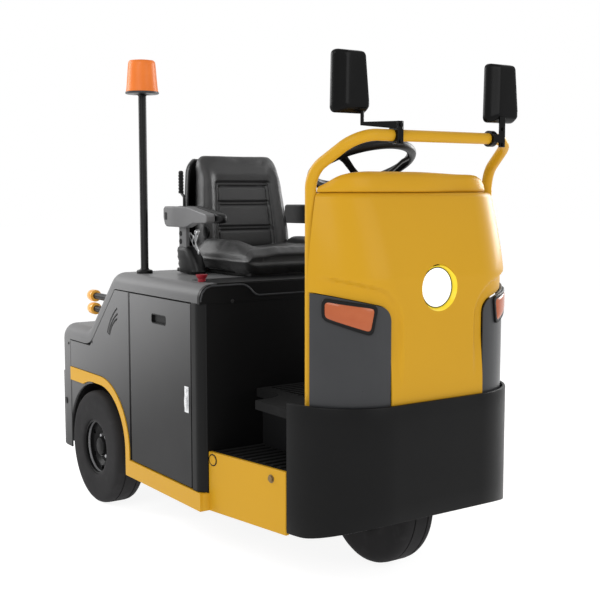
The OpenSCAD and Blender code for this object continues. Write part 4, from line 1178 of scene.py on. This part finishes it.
poleLow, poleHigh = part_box("beacon_pole")
poleX, poleY = (poleLow.x + poleHigh.x) / 2, (poleLow.y + poleHigh.y) / 2
beaconFit = {
    "flutes": 40, "groove": 0.0008, "grooveLow": 1.552, "grooveHigh": 1.642,
    "pole": [
        (0.029, 0.900), (0.029, 0.908), (0.026, 0.912), (0.0165, 0.914), (0.014, 0.920),
        (0.014, 1.527), (0.018, 1.531), (0.030, 1.5335), (0.030, 1.537)],
    "flange": [
        (0.026, 1.5335), (0.056, 1.5338), (0.0585, 1.5350), (0.0590, 1.5370),
        (0.0590, 1.5400), (0.0578, 1.5415), (0.050, 1.542), (0.040, 1.542)],
    "dome": [
        (0.0560, 1.5400), (0.0570, 1.5430), (0.0560, 1.5470), (0.0550, 1.5535), (0.0535, 1.570), (0.0515, 1.595),
        (0.0495, 1.620), (0.0480, 1.638), (0.0465, 1.6450), (0.0430, 1.6495), (0.030, 1.6512), (0.002, 1.652)],
}
pole = turned("beaconPole", beaconFit["pole"], 48, (poleX, poleY, 0))
finish(pole, blackPlastic, stands=("beacon_pole",))
flange = turned("beaconFlange", beaconFit["flange"], 64, (poleX, poleY, 0))
finish(flange, charcoalPlastic)
dome = turned("beaconDome", beaconFit["dome"], 2 * beaconFit["flutes"])
for v in dome.data.vertices:
    turnStep = round(math.atan2(v.co.y, v.co.x) / (math.pi / beaconFit["flutes"]))
    if beaconFit["grooveLow"] < v.co.z < beaconFit["grooveHigh"] and turnStep % 2:
        shrink = 1 - beaconFit["groove"] / math.hypot(v.co.x, v.co.y)
        v.co.x *= shrink
        v.co.y *= shrink
dome.location = (poleX, poleY, 0)
settle(dome)
smooth(dome, 50)
finish(dome, beaconLens, stands=("beacon",))

rearLampFit = {
    "back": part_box("rear_lamps")[0].x, "y": 0.440, "rows": (0.738, 0.788),
    "lens": [
        (0.002, 0.0), (0.012, 0.001), (0.019, 0.004), (0.0222, 0.009), (0.0230, 0.016), (0.0230, 0.030),
        (0.0212, 0.031), (0.0212, 0.034), (0.0230, 0.035), (0.0230, 0.043), (0.0215, 0.0455), (0.013, 0.046)],
}
lampParts, neckParts = [], []
for side in (-1, 1):
    for z in rearLampFit["rows"]:
        spot = (rearLampFit["back"], side * rearLampFit["y"], z)
        lampParts.append(turned("rearLamp", rearLampFit["lens"], 40, spot, towardFront))
        neck = tailX + 0.262 + z - 0.668 - rearLampFit["back"]     # length to the body's slope
        neckShape = [(0.013, 0.0455), (0.013, neck - 0.018), (0.018, neck - 0.012), (0.018, neck + 0.004)]
        neckParts.append(turned("lampNeck", neckShape, 32, spot, towardFront))
rearLamps = joinAll("rearLamps", lampParts)
finish(rearLamps, rearLens, stands=("rear_lamps",))
finish(joinAll("rearLampNecks", neckParts), blackPlastic)

pedalArms = copyNode("pedals", "pedalArms")
soften(pedalArms, 0.003)
finish(pedalArms, framePaint, stands=("pedals",))
pedalFit = {"x": frontX - 0.0415, "z": 0.551, "run": 0.072, "rise": 0.104, "turn": (0, math.radians(35), 0)}
treadBars = []
for y in (-0.095, 0.045):
    for t in [0.12 + i * 0.125 for i in range(7)]:
        spot = (pedalFit["x"] + pedalFit["run"] * t, y, pedalFit["z"] + pedalFit["rise"] * t)
        treadBars.append(block("pedalBar", spot, (0.004, 0.058, 0.006), 0.0012, 2, pedalFit["turn"]))
finish(joinAll("pedalPads", treadBars), floorRubber)
print("lamps and pedals done")


# latches, grips, plugs, bolts and treads

def boltHead(place, normal, size=0.010):
    turn = turnTo(normal)
    rim = [(size * 1.3, -0.0005), (size * 1.3, 0.0012), (size * 0.5, 0.0014)]
    nut = [(size, 0.0010), (size, 0.0050), (size * 0.86, 0.0064), (size * 0.1, 0.0064)]
    return joinAll("bolt", [turned("washer", rim, 24, place, turn), turned("hexagon", nut, 6, place, turn)])


def screwHead(place, normal, size=0.006):
    shape = ((1, -0.0005), (1, 0.0008), (0.85, 0.0022), (0.5, 0.0026), (0.42, 0.0010), (0.1, 0.0010))
    return turned("screw", [(size * r, z) for r, z in shape], 24, place, turnTo(normal))


def roundBox(halfW, halfH, r):
    pts = []
    for cx, cy, start in ((1, 1, 0), (-1, 1, 90), (-1, -1, 180), (1, -1, 270)):
        for a in [math.radians(start + i * 15) for i in range(7)]:
            pts.append((cx * (halfW - r) + r * math.cos(a), cy * (halfH - r) + r * math.sin(a)))
    return pts


doorFit = {
    "gripX": frontX - 0.570, "gripZ": 0.763, "gripHalf": (0.052, 0.0170, 0.0095),
    "cup": (
        (-0.0160, 0.0040), (-0.0004, 0.0040), (-0.0004, 0.0), (0.0006, 0.0),
        (0.0010, 0.0008), (0.0006, 0.0020), (-0.0075, 0.0045)),
    "latchX": frontX - 0.376, "latchZ": 0.521, "paddle": ((0.0, 0.028), (0.0045, 0.028), (0.0060, 0.025)),
    "lock": [(0.0070, 0.0), (0.0070, 0.0045), (0.0060, 0.0055), (0.002, 0.0055)],
}
for side, body in ((-1, "door_right"), (1, "door_left")):
    cupRings = []
    for y, inset in doorFit["cup"]:
        outline = roundBox(*[half - inset for half in doorFit["gripHalf"]])
        cupRings.append([(doorFit["gripX"] + p, side * (skinY + y), doorFit["gripZ"] + q) for p, q in outline])
    finish(ringed("gripCup", cupRings), boxPaint, body)
    latchX, latchZ = doorFit["latchX"], doorFit["latchZ"]
    plate = block("latchPlate", (latchX, side * (skinY + 0.0008), latchZ), (0.026, 0.0030, 0.086), 0.001)
    paddleRings = []
    for y, h in doorFit["paddle"]:
        spots = [(latchX + 0.0085 * math.cos(t), latchZ - 0.008 + h * math.sin(t)) for t in roundTurn(24)]
        paddleRings.append([(x, side * (skinY + y), z) for x, z in spots])
    paddle = ringed("latchPaddle", paddleRings)
    lockSpot = (latchX, side * (skinY + 0.0005), latchZ + 0.031)
    lock = turned("latchLock", doorFit["lock"], 28, lockSpot, (side * -quarterTurn, 0, 0))
    latch = joinAll("latch" + ("Right" if side < 0 else "Left"), [plate, paddle, lock])
    finish(latch, brightMetal, body)

archR, archLow = 0.243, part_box("rear_cover")[0].z + 0.001
archEnd = math.pi - math.asin((archLow - wheelR) / archR)
archTurns = [archEnd + (math.radians(96) - archEnd) * i / 24 for i in range(25)]
tailOutline = [(tailX + 0.020, archLow)]
tailOutline += [(rearX + archR * math.cos(a), wheelR + archR * math.sin(a)) for a in archTurns]
tailOutline += [(rearX - 0.025, 0.474), (tailX + 0.020, 0.474)]
sillPlan = (
    (-0.030, 0.4975), (-0.012, 0.4975), (-0.005, 0.4955), (0.000, 0.4900),
    (0.0035, 0.4800), (0.0045, 0.4650), (-0.030, 0.4600))
tailPanels, sillEnds = [], []
for side in (-1, 1):
    tailRings = [[(x, side * y, z) for x, z in tailOutline] for y in (skinY - 0.012, skinY - 0.0025)]
    tailPanels.append(ringed("tailPanel", tailRings))
    soften(tailPanels[-1], 0.0018, 2, 40)
    sillEnds.append(ringed("sillEnd", [[(boxX + x, side * y, z) for x, y in sillPlan] for z in (0.1690, 0.2265)]))
    soften(sillEnds[-1], 0.002, 2, 40)
finish(joinAll("tailPanels", tailPanels), greyPaint)
finish(joinAll("sillEnds", sillEnds), yellowPaint)

fixFit = {
    "tailPlug": [(0.0135, -0.001), (0.0135, 0.0015), (0.0115, 0.0030), (0.004, 0.0034), (0.001, 0.0034)],
    "stepPlug": [(0.0158, -0.001), (0.0158, 0.0014), (0.0145, 0.0024), (0.001, 0.0028)],
    "stepShadeRing": [
        (0.0150, -0.0005), (0.0195, -0.0005), (0.0195, 0.0010),
        (0.0185, 0.0018), (0.0165, 0.0018), (0.0158, 0.0008)],
    "plugX": frontX - 0.268, "boltX": frontX + 0.003, "tailX": frontX - 1.386,
}


def onStep(x, z, side):
    # the step panels slant inwards from the seat box to the bumper
    t = (x - (frontX - 0.290)) / 0.356
    return (x, side * (0.468 + t * (0.408 - 0.468)), z)


fixings, stepBolts, stepPlugs, stepShadeRings, plugs = [], [], [], [], []
for side in (-1, 1):
    for x, z in ((frontX - 1.126, 0.622), (frontX - 1.352, 0.590)):
        fixings.append(screwHead((x, side * skinY, z), (0, side, 0), 0.0055))
    tailSpot = (fixFit["tailX"], side * skinY, 0.354)
    plugs.append(turned("tailPlug", fixFit["tailPlug"], 32, tailSpot, (side * -quarterTurn, 0, 0)))
    normal = Vector((0.1415, side, 0)).normalized()
    turn, plugSpot = turnTo(normal), onStep(fixFit["plugX"], 0.338, side)
    stepPlugs.append(turned("stepPlug", fixFit["stepPlug"], 40, plugSpot, turn))
    # the black ring round each step plug is painted shade, standing for the groove round the plug
    stepShadeRings.append(turned("stepShadeRing", fixFit["stepShadeRing"], 40, plugSpot, turn, (False, False)))
    stepBolts.append(boltHead(onStep(fixFit["boltX"], 0.331, side), normal, 0.010))
finish(joinAll("tailPlugs", plugs), blackPlastic)
finish(joinAll("stepPlugs", stepPlugs), yellowPaint)
finish(joinAll("stepShadeRings", stepShadeRings), blackPlastic)
finish(joinAll("stepBolts", stepBolts), boltMetal)
for y in (-0.080, 0.080):
    for z in (0.205, 0.335):
        fixings.append(boltHead((tailX - 0.014, y, z), (-1, 0, 0), 0.012))
for y in (-0.3755, 0.3755):
    fixings.append(screwHead((boxX + 0.0010, y, 0.8426), (1, 0, 0), 0.006))
finish(joinAll("bolts", fixings), darkBolt)

treadFit = {"start": frontX - 0.262, "inner": 0.272, "stepZ": 0.3635, "matZ": 0.5520}
treads = []
for side in (-1, 1):
    for i in range(9):
        x, inner = treadFit["start"] + i * 0.034, treadFit["inner"]
        outer = 0.440 - 0.155 * (x - frontX + 0.290)
        spot = (x, side * (inner + outer) / 2, treadFit["stepZ"])
        treads.append(block("stepRib", spot, (0.014, outer - inner, 0.005), 0.0018))
for i in range(12):
    spot = (treadFit["start"] + i * 0.026, 0, treadFit["matZ"])
    treads.append(block("matRib", spot, (0.012, 0.480, 0.004), 0.0015))
finish(joinAll("treadRibs", treads), floorRubber)

dashX = frontX + 0.112
knobShape = [(0.014, 0), (0.0145, 0.004), (0.012, 0.016), (0.0105, 0.018), (0.002, 0.018)]
screenTurn, knobTurn = (0, math.radians(-38), 0), (0, math.radians(-75), 0)
screen = block("dashScreen", (dashX - 0.052, 0.0, 1.128), (0.010, 0.150, 0.072), 0.004, 3, screenTurn)
finish(screen, displayGlass)
panelBits = [turned("dashKnob", knobShape, 28, (dashX - 0.060, y, 1.060), knobTurn) for y in (-0.085, 0.085)]
for y in (-0.26, -0.22, 0.22, 0.26):
    panelBits.append(block("dashSwitch", (dashX - 0.004, y, 1.120), (0.010, 0.022, 0.034), 0.003, 3))
finish(joinAll("dashSwitches", panelBits), charcoalPlastic)

bracketFit = {
    "mid": Vector((seatX - 0.268, -0.290, 1.012)), "thick": 0.005,
    "eye": [(0.0095, 0.0), (0.0095, 0.006), (0.008, 0.008), (0.0045, 0.008), (0.0045, 0.002), (0.001, 0.002)],
    "bars": (
        ("bracketStem", (0.022, -0.036), (-0.018, 0.018), 0.0100),
        ("bracketHook", (0.000, 0.000), (0.024, 0.037), 0.0100),
        ("bracketTail", (-0.018, 0.018), (-0.034, 0.027), 0.0075)),
}


def flatBar(name, a, b, width):
    a, b = [bracketFit["mid"] + Vector((x, 0, z)) for x, z in (a, b)]
    along = (b - a).normalized() * width
    across = Vector((-along.z, 0, along.x))
    half = [i * math.pi / 10 for i in range(11)]
    outline = [b + across * math.cos(t) + along * math.sin(t) for t in half]
    outline += [a - across * math.cos(t) - along * math.sin(t) for t in half]
    bar = ringed(name, [[p + Vector((0, side * bracketFit["thick"] / 2, 0)) for p in outline] for side in (-1, 1)])
    soften(bar, 0.001, 2, 40)
    return bar


bars = [flatBar(*bar) for bar in bracketFit["bars"]]
eyeSpot = bracketFit["mid"] + Vector((0.024, -0.002, 0.037))
bracket = joinAll("seatBracket", bars + [turned("bracketEye", bracketFit["eye"], 28, eyeSpot, towardRight)])
finish(bracket, brightMetal)
print("small parts done")


# stage, light and camera

def stageFinish():
    material = bpy.data.materials.new("paleFloor")
    material.use_nodes = True
    tree = material.node_tree
    tree.nodes.clear()
    start = Wire(tree, None)
    soft = start.make("ShaderNodeBsdfDiffuse", None, {"Color": (0.34, 0.34, 0.34, 1)})
    glow = start.make("ShaderNodeEmission", None, {"Color": (1, 1, 1, 1), "Strength": 0.90})
    both = start.make("ShaderNodeAddShader", None, {0: soft, 1: glow})
    out = tree.nodes.new("ShaderNodeOutputMaterial")
    both.drive(out, "Surface")
    return material


clearPick()
bpy.ops.mesh.primitive_plane_add(size=60, location=(0, 0, 0))
floor = bpy.context.object
floor.name = "studioFloor"
floor.data.materials.append(stageFinish())

world = bpy.data.worlds.new("studio")
bpy.context.scene.world = world
world.use_nodes = True
tree = world.node_tree
tree.nodes.clear()
start = Wire(tree, None)
camRay = start.make("ShaderNodeLightPath", out=0)
rays = camRay.socket.node
seen = camRay + Wire(tree, rays.outputs["Is Glossy Ray"]) + Wire(tree, rays.outputs["Is Transmission Ray"])
seen = seen.make("ShaderNodeClamp", None, {0: seen})
strength = seen * 0.65 + 0.35
shine = start.make("ShaderNodeBackground", None, {"Color": (1, 1, 1, 1), "Strength": strength})
out = tree.nodes.new("ShaderNodeOutputWorld")
shine.drive(out, "Surface")

lampPlan = {
    "key": ((1.9, -3.2, 3.0), (0.1, -0.2, 0.7), 2.4, 60),
    "front": ((4.4, 0.6, 2.4), (0.4, 0.0, 0.8), 2.4, 42),
    "rim": ((0.2, 3.6, 2.0), (0.5, 0.0, 0.8), 1.8, 90),
    "tail": ((-2.6, -2.2, 2.4), (-0.6, -0.3, 0.7), 1.8, 75),
}
for name, (place, aim, size, power) in lampPlan.items():
    data = bpy.data.lights.new(name, "AREA")
    data.size = size
    data.energy = power
    lampObj = bpy.data.objects.new(name, data)
    bpy.context.collection.objects.link(lampObj)
    lampObj.location = place
    lampObj.rotation_euler = (Vector(aim) - Vector(place)).to_track_quat("-Z", "Y").to_euler()

view = {"lens": 64.32, "yaw": 34.6, "pitch": 5.9, "place": (frontX + 2.655, -2.142, 1.2)}
camData = bpy.data.cameras.new("photoView")
camData.lens = view["lens"]
camData.sensor_width = 36
cam = bpy.data.objects.new("photoView", camData)
bpy.context.collection.objects.link(cam)
yaw, pitch = math.radians(view["yaw"]), math.radians(view["pitch"])
cam.location = view["place"]
look = Vector((-math.cos(yaw) * math.cos(pitch), math.sin(yaw) * math.cos(pitch), -math.sin(pitch)))
cam.rotation_euler = look.to_track_quat("-Z", "Y").to_euler()
bpy.context.scene.camera = cam
bpy.context.scene.view_settings.view_transform = "Standard"
clearPick()

print("stage set, scene finished")
